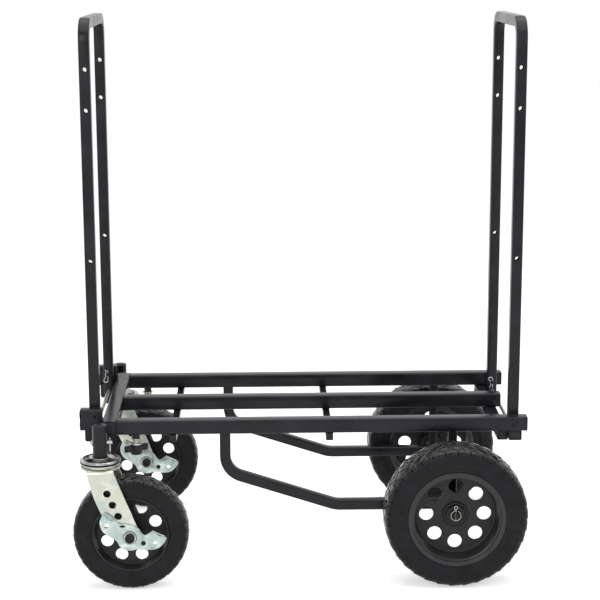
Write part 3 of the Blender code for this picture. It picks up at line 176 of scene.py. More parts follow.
def circle(radius: float, sides: int) -> Array:
    """A circle as a loop of points.

    Formula: point k is radius times the cosine and the sine of k turns over the number of sides.
    """
    angles = np.linspace(0.0, 2.0 * np.pi, sides, endpoint=False)
    return radius * np.stack([np.cos(angles), np.sin(angles)], axis=-1)


def rounded_rectangle(width: float, height: float, radius: float, steps: int = 4) -> Array:
    """A rectangle with quarter circles at its corners.

    Formula: each corner is the centre of its quarter circle plus radius times the cosine and the sine of an
    angle that runs through that quarter.
    """
    quarters = np.arange(4)[:, None] * 0.5 * np.pi
    angles = quarters + np.linspace(0.0, 0.5 * np.pi, steps + 1)[None, :]
    across = np.array([1.0, -1.0, -1.0, 1.0])[:, None] * (width / 2 - radius)
    up = np.array([1.0, 1.0, -1.0, -1.0])[:, None] * (height / 2 - radius)
    return np.stack([across + radius * np.cos(angles), up + radius * np.sin(angles)], axis=-1).reshape(-1, 2)


def bent_path(corners: Sequence[Sequence[float]], radii: float | Sequence[float], steps: int = 6,
              closed: bool = False) -> Array:
    """Straight runs joined by arcs, in the plane or in space.

    Formula: at a corner with half angle h between its runs, the arc's centre lies radius / sin(h) along the
    bisector, it starts radius / tan(h) before the corner, and it turns by pi - 2h.

    Args:
        corners: Corners of the path.
        radii: Radius at every inner corner, or one radius each; a closed path has inner corners only.
        steps: Pieces in each arc.
        closed: The path returns to its start.

    Returns:
        Points of the path, without repeats.
    """
    places = np.asarray(corners, dtype=float)
    middle = places if closed else places[1:-1]
    before = np.roll(places, 1, axis=0) if closed else places[:-2]
    after = np.roll(places, -1, axis=0) if closed else places[2:]
    radius = np.broadcast_to(np.asarray(radii, dtype=float), (len(middle),))[:, None]
    back = unit(before - middle)
    forth = unit(after - middle)
    half = 0.5 * np.arccos(np.clip(np.sum(back * forth, axis=-1, keepdims=True), -1.0, 1.0))
    centre = middle + unit(back + forth) * radius / np.sin(half)
    spoke = middle + back * radius / np.tan(half) - centre
    turn = ((np.pi - 2.0 * half) * np.linspace(0.0, 1.0, steps + 1)[None, :])[..., None]
    arcs = centre[:, None, :] + spoke[:, None, :] * np.cos(turn)
    arcs = arcs - (back * radius)[:, None, :] * np.sin(turn)
    path = arcs.reshape(-1, places.shape[1])
    if not closed:
        path = np.concatenate([places[:1], path, places[-1:]])
    gaps = np.linalg.norm(np.diff(path, axis=0), axis=-1)
    return path[np.concatenate([[True], gaps > 1e-7])]


def evenly(curve: Array, count: int) -> Array:
    """Points at even distances along a curve.

    Formula: each coordinate is interpolated in the distance run along the curve.
    """
    run = np.concatenate([[0.0], np.cumsum(np.linalg.norm(np.diff(curve, axis=0), axis=-1))])
    wanted = np.linspace(0.0, run[-1], count)
    return np.stack([np.interp(wanted, run, curve[:, axis]) for axis in range(curve.shape[1])], axis=-1)


def smooth_loop(corners: Array, steps: int) -> Array:
    """A closed curve through all corners.

    Formula: between p1 and p2 it is half of 2 p1 + (p2 - p0) t + (2 p0 - 5 p1 + 4 p2 - p3) t^2
    + (3 p1 - p0 - 3 p2 + p3) t^3, with t from 0 to 1.
    """
    p0, p1, p2, p3 = (np.roll(corners, shift, axis=0)[:, None, :] for shift in (1, 0, -1, -2))
    t = np.linspace(0.0, 1.0, steps, endpoint=False)[None, :, None]
    square = (2.0 * p0 - 5.0 * p1 + 4.0 * p2 - p3) * t ** 2
    cube = (3.0 * p1 - p0 - 3.0 * p2 + p3) * t ** 3
    return (0.5 * (2.0 * p1 + (p2 - p0) * t + square + cube)).reshape(-1, corners.shape[1])


def carried(path: Array, side: Array, sections: Array) -> Array:
    """A section carried along a flat path.

    Formula: a section point (u, v) at a path point p becomes p + u * side + v * across, where across is
    square to side and to the path, and v is stretched at corners so that the wall keeps its thickness.

    Args:
        path: Points of the path.
        side: Direction square to the plane of the path.
        sections: One section for the whole path, or one for each of its points.

    Returns:
        A grid with one row for each point of the path.
    """
    runs = unit(np.diff(path, axis=0))
    arriving = np.concatenate([runs[:1], runs])
    leaving = np.concatenate([runs, runs[-1:]])
    tangent = unit(arriving + leaving)
    stretch = 1.0 / np.sum(tangent * arriving, axis=-1)
    across = np.cross(side, tangent)
    loops = np.broadcast_to(sections, (len(path),) + sections.shape[-2:])
    along_side = side[None, None, :] * loops[..., 0:1]
    along_across = across[:, None, :] * loops[..., 1:2] * stretch[:, None, None]
    return path[:, None, :] + along_side + along_across


def bar(path: Array, side: Array, section: Array) -> Surface:
    """A solid bar along a flat path."""
    return Surface.from_grid(carried(path, side, section))


def box_tube(path: Array, side: Array, width: float, height: float, corner: float, wall: float,
             bore_corner: float) -> Surface:
    """A box section along a flat path, open at both ends, whose bore has corners of its own."""
    outer = carried(path, side, rounded_rectangle(width, height, corner))
    inner = carried(path, side, rounded_rectangle(width - 2 * wall, height - 2 * wall, bore_corner))
    return Surface.from_grid(np.concatenate([outer, inner[::-1]]), wrap_rows=True)


def square_tube(path: Array, side: Array, size: float, corner: float, wall: float) -> Surface:
    """A square tube with rounded corners along a flat path."""
    return box_tube(path, side, size, size, corner, wall, max(corner - wall, 0.4 * MM))


def across_cart(x: float, reach: float, z: float) -> Array:
    """A straight path across the cart, with the same reach to both sides."""
    return np.array([[x, -reach, z], [x, reach, z]])


def end_plugs(path: Array, size: float, corner: float, stands_out: float) -> Surface:
    """Square plugs in both ends of a tube that runs across the cart."""
    section = rounded_rectangle(size, size, corner)
    ends = [np.array([end - sign * PLUG_DEPTH * Y_AXIS, end + sign * stands_out * Y_AXIS])
            for end, sign in zip(path, SIGNS)]
    return Surface.joined([bar(end, X_AXIS, section) for end in ends])


def domed_plug(middle: Array, axes: Sequence[Array], rise: Array, width: Array, corner: float) -> Surface:
    """A square plug with a softly domed lip over a tube's end.

    Formula: rounded squares of the given widths are stacked along the first axis at the given rises, and a
    point (u, v) of a square lies u along the second axis and v along the third.
    """
    loops = rounded_rectangle(1.0, 1.0, corner)[None, :, :] * width[:, None, None]
    spine = middle + rise[:, None] * axes[0]
    return Surface.from_grid(spine[:, None, :] + loops[..., :1] * axes[1] + loops[..., 1:] * axes[2])


def frame_round(axis: Array) -> tuple[Array, Array]:
    """Two directions square to an axis and to each other."""
    reference = Z_AXIS if abs(axis[2]) < 0.9 else X_AXIS
    first = unit(np.cross(axis, reference))
    return first, np.cross(axis, first)


def turned(profile: Sequence[Sequence[float]] | Array, centre: Array, axis: Array, sides: int,
           loop: bool = False) -> Surface:
    """A profile turned about an axis.

    Formula: a profile point (r, h) becomes centre + h * axis + r * (cos a * u + sin a * v), with a from 0 to
    one turn and u and v square to the axis.

    Args:
        profile: Points of radius and height. They end on the axis, or are a closed loop.
        centre: Point of the axis at height zero.
        axis: Direction of the axis.
        sides: Steps round the axis.
        loop: The profile is a closed loop.

    Returns:
        The turned skin.
    """
    line = np.asarray(profile, dtype=float)
    first, second = frame_round(axis)
    ring = circle(1.0, sides)
    around = ring[:, :1] * first + ring[:, 1:] * second
    grid = centre + line[:, 1][:, None, None] * axis + line[:, 0][:, None, None] * around[None, :, :]
    return Surface.from_grid(grid, wrap_rows=loop, capped=False)


def rod(start: Array, end: Array, radius: float, sides: int = 32, chamfer: float = 0.0) -> Surface:
    """A straight round rod between two points, with chamfered ends."""
    length = float(np.linalg.norm(end - start))
    profile = [(0.0, 0.0), (radius - chamfer, 0.0), (radius, chamfer), (radius, length - chamfer),
               (radius - chamfer, length), (0.0, length)]
    return turned(profile, start, unit(end - start), sides)


def hole(middle: Array, axis: Array, reach: float, radius: float, sides: int = 32) -> Surface:
    """A round cutter along an axis, from one reach before its middle to one reach after it."""
    return rod(middle - axis * reach, middle + axis * reach, radius, sides)


def flared_hole(middle: Array, axis: Array, half: float, radius: float, flare: float) -> Surface:
    """A round cutter that widens by the flare at both faces of a plate of the given half thickness."""
    profile = [(0.0, -half - flare), (radius + 2.0 * flare, -half - flare), (radius, flare - half),
               (radius, half - flare), (radius + 2.0 * flare, half + flare), (0.0, half + flare)]
    return turned(profile, middle, axis, 40)


def prism(outline: Array, axis: Array, low: float, high: float) -> Surface:
    """A flat outline drawn out along Y, from points (x, z), or along Z, from points (x, y)."""
    levels = np.array([low, high])[:, None]
    first = np.broadcast_to(outline[:, 0], (2, len(outline)))
    second = np.broadcast_to(outline[:, 1], (2, len(outline)))
    level = np.broadcast_to(levels, (2, len(outline)))
    order = (first, level, second) if axis is Y_AXIS else (first, second, level)
    return Surface.from_grid(np.stack(order, axis=-1))


def wire(path: Array, radius: float, facing: Array, sides: int = 12) -> Surface:
    """A round wire along a path that never runs along its facing direction.

    Formula: round a path point p it is p + radius * (cos a * u + sin a * v), where u is square to the path
    and to facing, and v is square to the path and to u.
    """
    runs = unit(np.diff(path, axis=0))
    tangent = unit(np.concatenate([runs[:1], runs]) + np.concatenate([runs, runs[-1:]]))
    first = unit(np.cross(facing, tangent))
    second = np.cross(tangent, first)
    ring = circle(radius, sides)
    grid = path[:, None, :] + first[:, None, :] * ring[None, :, :1] + second[:, None, :] * ring[None, :, 1:]
    return Surface.from_grid(grid)


def weld_bead(start: Array, end: Array, radius: float = 1.3 * MM, ripple: float = 2.4 * MM) -> Surface:
    """A rippled bead of weld along a line.

    Formula: at distance s its radius is the full one times 0.8 + 0.2 |cos(pi s / ripple)|, times the square
    root of the distance to the nearer end over the radius, where that is under one.
    """
    length = float(np.linalg.norm(end - start))
    along = np.linspace(0.0, length, max(int(5 * length / ripple), 12))
    ends = np.sqrt(np.clip(np.minimum(along, length - along) / radius + 0.02, 0.0, 1.0))
    thick = radius * (0.8 + 0.2 * np.abs(np.cos(np.pi * along / ripple))) * ends
    first, second = frame_round(unit(end - start))
    ring = circle(1.0, 8)
    around = ring[:, :1] * first + ring[:, 1:] * second
    spine = start + unit(end - start) * along[:, None]
    return Surface.from_grid(spine[:, None, :] + thick[:, None, None] * around[None, :, :])


def twin_beads(middle: Array, run: Array, apart: Array, radius: float = 1.3 * MM) -> list[Surface]:
    """Two beads of weld, one on each side of a middle, each a run long to both sides of its own middle."""
    places = [middle + sign * apart for sign in SIGNS]
    return [weld_bead(place - run, place + run, radius) for place in places]


class ShaderGraph:
    """Nodes of one material, added one by one and joined."""

    def __init__(self, name: str) -> None:
        """Starts a material with its shader and its place in metres."""
        self.material = bpy.data.materials.new(name)
        self.material.use_nodes = True
        self.tree = self.material.node_tree
        self.shader = self.tree.nodes["Principled BSDF"]
        self.place = self.tree.nodes.new("ShaderNodeTexCoord").outputs["Object"]

    def stretched(self, stretch: Triple) -> bpy.types.NodeSocket:
        """The place, scaled by a factor along each axis."""
        mapping = self.tree.nodes.new("ShaderNodeMapping")
        mapping.inputs["Scale"].default_value = stretch
        self.tree.links.new(self.place, mapping.inputs["Vector"])
        return mapping.outputs["Vector"]

    def noise(self, size: float, detail: float = 3.0, twist: float = 0.0,
              stretch: Triple | None = None) -> bpy.types.NodeSocket:
        """Soft noise.

        Args:
            size: Size of its patches in metres.
            detail: Finer layers in it.
            twist: How far it is distorted.
            stretch: Factors along the axes, or None for even noise.

        Returns:
            A value around a half.
        """
        node = self.tree.nodes.new("ShaderNodeTexNoise")
        node.inputs["Scale"].default_value = 1.0 / size
        node.inputs["Detail"].default_value = detail
        node.inputs["Distortion"].default_value = twist
        source = self.place if stretch is None else self.stretched(stretch)
        self.tree.links.new(source, node.inputs["Vector"])
        return node.outputs[0]

    def pebbles(self, size: float) -> bpy.types.NodeSocket:
        """Distance to the nearest of scattered points, which makes rounded pebbles of a size in metres."""
        node = self.tree.nodes.new("ShaderNodeTexVoronoi")
        node.inputs["Scale"].default_value = 1.0 / size
        self.tree.links.new(self.place, node.inputs["Vector"])
        return node.outputs["Distance"]

    def tones(self, value: bpy.types.NodeSocket,
              stops: Sequence[tuple[float, Colour]]) -> bpy.types.NodeSocket:
        """Colours by a value, through stops of position and colour."""
        ramp = self.tree.nodes.new("ShaderNodeValToRGB")
        elements = ramp.color_ramp.elements
        elements[0].position, elements[0].color = stops[0][0], (*stops[0][1], 1.0)
        elements[1].position, elements[1].color = stops[-1][0], (*stops[-1][1], 1.0)
        for position, colour in stops[1:-1]:
            elements.new(position).color = (*colour, 1.0)
        self.tree.links.new(value, ramp.inputs["Fac"])
        return ramp.outputs["Color"]

    def spread(self, value: bpy.types.NodeSocket, low: float, high: float) -> bpy.types.NodeSocket:
        """A value between 0.3 and 0.7 carried over to the given range."""
        node = self.tree.nodes.new("ShaderNodeMapRange")
        node.inputs["From Min"].default_value = 0.3
        node.inputs["From Max"].default_value = 0.7
        node.inputs["To Min"].default_value = low
        node.inputs["To Max"].default_value = high
        self.tree.links.new(value, node.inputs["Value"])
        return node.outputs["Result"]

    def bump(self, height: bpy.types.NodeSocket, depth: float, strength: float = 1.0,
             under: bpy.types.NodeSocket | None = None) -> bpy.types.NodeSocket:
        """Relief of a depth in metres, laid over another relief if one is given."""
        node = self.tree.nodes.new("ShaderNodeBump")
        node.inputs["Distance"].default_value = depth
        node.inputs["Strength"].default_value = strength
        self.tree.links.new(height, node.inputs["Height"])
        if under is not None:
            self.tree.links.new(under, node.inputs["Normal"])
        return node.outputs["Normal"]

    def drive(self, **sockets: bpy.types.NodeSocket) -> None:
        """Joins sockets to the shader's inputs, whose names are given with underscores for spaces."""
        for name, socket in sockets.items():
            self.tree.links.new(socket, self.shader.inputs[name.replace("_", " ")])

    def fix(self, name: str, value: float) -> None:
        """Sets an input of the shader that is the same all over the surface."""
        self.shader.inputs[name].default_value = value


@dataclass(frozen=True)
class Finish:
    """A finish of the cart, which becomes a material once."""

    slot: str = ""

    @property
    def name(self) -> str:
        """Name of its material."""
        return type(self).__name__

    def material(self) -> bpy.types.Material:
        """The finish as a material."""
        known = bpy.data.materials.get(self.name)
        if known is not None:
            return known
        graph = ShaderGraph(self.name)
        self.paint(graph)
        return graph.material

    def paint(self, graph: ShaderGraph) -> None:
        """Sets colour, gloss and relief; each finish has its own."""
        raise NotImplementedError


@dataclass(frozen=True)
class PowderCoat(Finish):
    """Black powder coat on steel, with its faint orange-peel relief."""

    slot: str = "black_powder_coat"
    deep: Colour = (0.0082, 0.0084, 0.0118)
    pale: Colour = (0.0160, 0.0164, 0.0212)
    peel: float = 1.6 * MM

    def paint(self, graph: ShaderGraph) -> None:
        """Sets its colour, gloss and relief."""
        cloudy = graph.noise(60.0 * MM, detail=6.0)
        peel = graph.noise(self.peel, detail=1.0)
        grain = graph.noise(0.6 * MM, detail=3.0)
        colour = graph.tones(cloudy, [(0.35, self.deep), (0.65, self.pale)])
        relief = graph.bump(grain, 0.05 * MM, 0.6, under=graph.bump(peel, 0.12 * MM, 0.7))
        graph.drive(Base_Color=colour, Roughness=graph.spread(cloudy, 0.17, 0.29), Normal=relief)
        graph.fix("Specular IOR Level", 0.21)


class ZincTint(Enum):
    """Tints of passivated zinc, each with its main tone, its second tone and its bright tone."""

    CREAM = ((0.50, 0.52, 0.43), (0.40, 0.47, 0.44), (0.60, 0.60, 0.54))
    SEA_GREEN = ((0.42, 0.50, 0.47), (0.27, 0.35, 0.33), (0.66, 0.72, 0.68))
    PLAIN = ((0.44, 0.44, 0.42), (0.28, 0.28, 0.27), (0.66, 0.65, 0.62))


@dataclass(frozen=True)
class ZincPlate(Finish):
    """Passivated zinc with soft clouds of tint and fine rolling marks."""

    slot: str = "zinc_plate"
    tint: ZincTint = ZincTint.CREAM

    @property
    def name(self) -> str:
        """Name of its material, one for each tint."""
        return "ZincPlate" + self.tint.name.title().replace("_", "")

    def paint(self, graph: ShaderGraph) -> None:
        """Sets its colour, gloss and relief."""
        main, second, bright = self.tint.value
        clouds = graph.noise(30.0 * MM, detail=5.0, twist=0.8)
        marks = graph.noise(9.0 * MM, detail=6.0, stretch=(6.0, 6.0, 0.7))
        grain = graph.noise(0.8 * MM, detail=3.0)
        colour = graph.tones(clouds, [(0.34, second), (0.5, main), (0.66, bright)])
        relief = graph.bump(marks, 0.05 * MM, 0.35, under=graph.bump(grain, 0.02 * MM, 0.4))
        graph.drive(Base_Color=colour, Roughness=graph.spread(marks, 0.24, 0.40), Normal=relief)
        graph.fix("Metallic", 0.85)


@dataclass(frozen=True)
class BrightSteel(Finish):
    """Bright plated steel with faint tool marks."""

    slot: str = "bright_steel"
    shine: Colour = (0.62, 0.62, 0.63)
    shade: Colour = (0.34, 0.34, 0.35)

    def paint(self, graph: ShaderGraph) -> None:
        """Sets its colour, gloss and relief."""
        clouds = graph.noise(12.0 * MM, detail=4.0)
        marks = graph.noise(0.5 * MM, detail=3.0, stretch=(0.15, 0.15, 1.0))
        colour = graph.tones(clouds, [(0.35, self.shade), (0.65, self.shine)])
        graph.drive(Base_Color=colour, Roughness=graph.spread(clouds, 0.14, 0.26),
                    Normal=graph.bump(marks, 0.02 * MM, 0.4))
        graph.fix("Metallic", 1.0)


@dataclass(frozen=True)
class PressedSteel(BrightSteel):
    """The same steel where it is pressed into a dish, greyer."""

    shine: Colour = (0.60, 0.60, 0.60)
    shade: Colour = (0.22, 0.22, 0.23)


@dataclass(frozen=True)
class DrawnSteel(BrightSteel):
    """The same steel on drawn tube, more even."""

    shine: Colour = (0.54, 0.54, 0.55)
    shade: Colour = (0.42, 0.42, 0.43)


@dataclass(frozen=True)
class MouldedPlastic(Finish):
    """Black moulded plastic with a pebbled mould texture and small pale specks."""

    slot: str = "black_plastic"
    deep: Colour = (0.0100, 0.0100, 0.0115)
    pale: Colour = (0.0330, 0.0330, 0.0360)

    def paint(self, graph: ShaderGraph) -> None:
        """Sets its colour, gloss and relief."""
        specks = graph.noise(1.8 * MM, detail=4.0)
        clouds = graph.noise(35.0 * MM, detail=3.0)
        colour = graph.tones(specks, [(0.40, self.deep), (0.68, self.pale)])
        relief = graph.bump(graph.pebbles(1.5 * MM), 0.22 * MM, 0.7,
                            under=graph.bump(specks, 0.08 * MM, 0.6))
        graph.drive(Base_Color=colour, Roughness=graph.spread(clouds, 0.38, 0.50), Normal=relief)
        graph.fix("Specular IOR Level", 0.24)


@dataclass(frozen=True)
class SmoothPlastic(Finish):
    """The same black plastic where the mould is smooth, a little greyer."""

    slot: str = "black_plastic"
    deep: Colour = (0.0150, 0.0150, 0.0175)
    pale: Colour = (0.0260, 0.0260, 0.0290)

    def paint(self, graph: ShaderGraph) -> None:
        """Sets its colour, gloss and relief."""
        clouds = graph.noise(22.0 * MM, detail=5.0)
        grain = graph.noise(0.9 * MM, detail=2.0)
        colour = graph.tones(clouds, [(0.35, self.deep), (0.65, self.pale)])
        graph.drive(Base_Color=colour, Roughness=graph.spread(clouds, 0.26, 0.38),
                    Normal=graph.bump(grain, 0.04 * MM, 0.4))
        graph.fix("Specular IOR Level", 0.36)


@dataclass(frozen=True)
class TyreRubber(Finish):
    """Black tyre rubber, dull, with a soft bloom in patches."""

    slot: str = "tyre_rubber"
    deep: Colour = (0.0070, 0.0070, 0.0084)
    bloom: Colour = (0.0135, 0.0135, 0.0158)
    roughness: tuple[float, float] = (0.28, 0.42)
    gloss: float = 0.14

    def paint(self, graph: ShaderGraph) -> None:
        """Sets its colour, gloss and relief."""
        clouds = graph.noise(28.0 * MM, detail=5.0, twist=0.6)
        grain = graph.noise(0.7 * MM, detail=3.0)
        colour = graph.tones(clouds, [(0.38, self.deep), (0.68, self.bloom)])
        graph.drive(Base_Color=colour, Roughness=graph.spread(clouds, *self.roughness),
                    Normal=graph.bump(grain, 0.05 * MM, 0.5))
        graph.fix("Specular IOR Level", self.gloss)


@dataclass(frozen=True)
class TreadRubber(TyreRubber):
    """The same rubber on the tread, where the mould leaves it shinier."""

    roughness: tuple[float, float] = (0.12, 0.24)
    gloss: float = 0.34


@dataclass(frozen=True)
class DarkSteel(Finish):
    """Oiled dark steel of bolt heads and bearing races."""

    slot: str = "black_powder_coat"
    deep: Colour = (0.0070, 0.0070, 0.0078)
    pale: Colour = (0.0300, 0.0295, 0.0310)

    def paint(self, graph: ShaderGraph) -> None:
        """Sets its colour, gloss and relief."""
        specks = graph.noise(1.0 * MM, detail=4.0)
        colour = graph.tones(specks, [(0.40, self.deep), (0.70, self.pale)])
        graph.drive(Base_Color=colour, Roughness=graph.spread(specks, 0.30, 0.45),
                    Normal=graph.bump(specks, 0.04 * MM, 0.5))
        graph.fix("Metallic", 0.35)
        graph.fix("Specular IOR Level", 0.25)


@dataclass
class Workshop:
    """Turns surfaces into finished objects that ride on the cart's bodies."""

    made: int = 0

    def finish(self, name: str, surface: Surface, look: Finish, body: str, node: str = "",
               side: Side | None = None, cutters: Sequence[Surface] = (),
               fittings: Sequence[Surface] = (), bevel: float = 0.0,
               crease: float = 32.0) -> bpy.types.Object:
        """Makes one finished piece.

        Args:
            name: Name of the piece.
            surface: Its skin.
            look: Its finish.
            body: Body that it rides on.
            node: CAD node that it replaces, if it replaces one.
            side: Side whose word ends the names of the piece and the node.
            cutters: Closed skins that are cut out of it.
            fittings: Skins that join it after the cuts, such as welded parts.
            bevel: Width of the bevel along its sharp edges.
            crease: Angle in degrees above which an edge looks sharp.

        Returns:
            The piece.
        """
        ending = "_" + side.label if side else ""
        name += ending
        piece = self.place(name, surface.to_mesh(name))
        if cutters:
            self.cut(piece, Surface.joined(cutters))
        if bevel > 0.0:
            self.soften(piece, bevel)
        if fittings:
            self.add(piece, Surface.joined(fittings))
        piece.data.shade_smooth()
        piece.data.set_sharp_from_angle(angle=math.radians(crease))
        piece.data.materials.clear()
        piece.data.materials.append(look.material())
        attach(piece, body)
        if node:
            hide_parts(node + ending)
        self.made += 1
        LOG.info("%s: %d faces, on %s", name, len(piece.data.polygons), body)
        return piece

    def face_middles(self, piece: bpy.types.Object) -> Array:
        """Middle point of every face of a piece."""
        middles = np.empty(3 * len(piece.data.polygons))
        piece.data.polygons.foreach_get("center", middles)
        return middles.reshape(-1, 3)

    def accent(self, piece: bpy.types.Object, look: Finish, chosen: Array) -> None:
        """Gives the chosen faces of a piece a second finish."""
        piece.data.materials.append(look.material())
        piece.data.polygons.foreach_set("material_index", chosen.astype(np.int32))
        piece.data.update()

    def place(self, name: str, mesh: bpy.types.Mesh) -> bpy.types.Object:
        """An object at the origin with the given mesh."""
        piece = bpy.data.objects.new(name, mesh)
        bpy.context.scene.collection.objects.link(piece)
        return piece

    def apply(self, piece: bpy.types.Object) -> None:
        """Puts what the piece's modifiers make into its mesh."""
        bpy.context.view_layer.update()
        graph = bpy.context.evaluated_depsgraph_get()
        mesh = bpy.data.meshes.new_from_object(piece.evaluated_get(graph))
        piece.modifiers.clear()
        old = piece.data
        piece.data = mesh
        bpy.data.meshes.remove(old)
        mesh.name = piece.name

    def cut(self, piece: bpy.types.Object, tool_surface: Surface) -> None:
        """Cuts a skin out of a piece."""
        tool = self.place(piece.name + "_tool", tool_surface.to_mesh(piece.name + "_tool"))
        modifier = piece.modifiers.new("cut", "BOOLEAN")
        modifier.operation = "DIFFERENCE"
        modifier.object = tool
        modifier.solver = "EXACT"
        self.apply(piece)
        tool_mesh = tool.data
        bpy.data.objects.remove(tool)
        bpy.data.meshes.remove(tool_mesh)

    def soften(self, piece: bpy.types.Object, width: float) -> None:
        """Bevels a piece's sharp edges."""
        modifier = piece.modifiers.new("soften", "BEVEL")
        modifier.width = width
        modifier.segments = 2
        modifier.limit_method = "ANGLE"
        modifier.angle_limit = math.radians(40)
        self.apply(piece)

    def add(self, piece: bpy.types.Object, surface: Surface) -> None:
        """Adds a separate skin to a piece's mesh."""
        extra = surface.to_mesh(piece.name + "_extra")
        shape = bmesh.new()
        shape.from_mesh(piece.data)
        shape.from_mesh(extra)
        shape.to_mesh(piece.data)
        shape.free()
        bpy.data.meshes.remove(extra)


@dataclass(frozen=True)
class Deck:
    """Heights, lines and fits that the cart's sub-assemblies share."""

    top: float = 288.0 * MM
    rail_side: float = 25.4 * MM
    rail_wall: float = 1.6 * MM
    rail_corner: float = 3.0 * MM
    rail_spacing: float = 158.8 * MM
    front_x: float = -326.5 * MM
    rear_x: float = 400.0 * MM
    weld_gap: float = 0.3 * MM
    lock_x: float = -293.0 * MM
    front_hinge_x: float = -366.5 * MM
    front_hinge_z: float = 298.0 * MM
    rear_hinge_x: float = 380.2 * MM
    pin_hole: float = 3.6 * MM
    axle_x: float = 269.5 * MM
    axle_z: float = 127.0 * MM
    axle_journal: float = 6.35 * MM
    caster_x: float = -351.3 * MM
    caster_trail: float = 50.9 * MM
    caster_axle_z: float = 101.6 * MM
    caster_bolt: float = 5.0 * MM
    wheel_y: float = 216.5 * MM

    @property
    def rail_z(self) -> float:
        """Height of the rails' middle."""
        return self.top - self.rail_side / 2

    @property
    def underside(self) -> float:
        """Height of the rails' lower faces."""
        return self.top - self.rail_side

    @property
    def weld_z(self) -> float:
        """Height of the tops of the parts that are welded under the rails."""
        return self.underside - self.weld_gap

    @property
    def rail_lines(self) -> Triple:
        """Middles of the three rails across the cart."""
        return -self.rail_spacing, 0.0, self.rail_spacing

    @property
    def outer_face(self) -> float:
        """Distance of the side rails' outer faces from the middle of the cart."""
        return self.rail_spacing + self.rail_side / 2

    @property
    def inner_face(self) -> float:
        """Distance of the side rails' inner faces from the middle of the cart."""
        return self.rail_spacing - self.rail_side / 2

    @property
    def cross_tube_x(self) -> float:
        """Middle of the front cross tube along the cart."""
        return self.front_x - self.weld_gap - self.rail_side / 2


DECK = Deck()


@dataclass
class Upright:
    """A sub-assembly with round pieces about an upright line on one side of the cart."""

    side: Side
    x: float
    reach: float

    @property
    def y(self) -> float:
        """The upright line across the cart."""
        return self.side.sign * self.reach

    def round_piece(self, profile: Sequence[Sequence[float]] | Array, sides: int,
                    loop: bool = False) -> Surface:
        """A profile of radius and height turned about the upright line."""
        return turned(profile, point(self.x, self.y, 0.0), Z_AXIS, sides, loop)


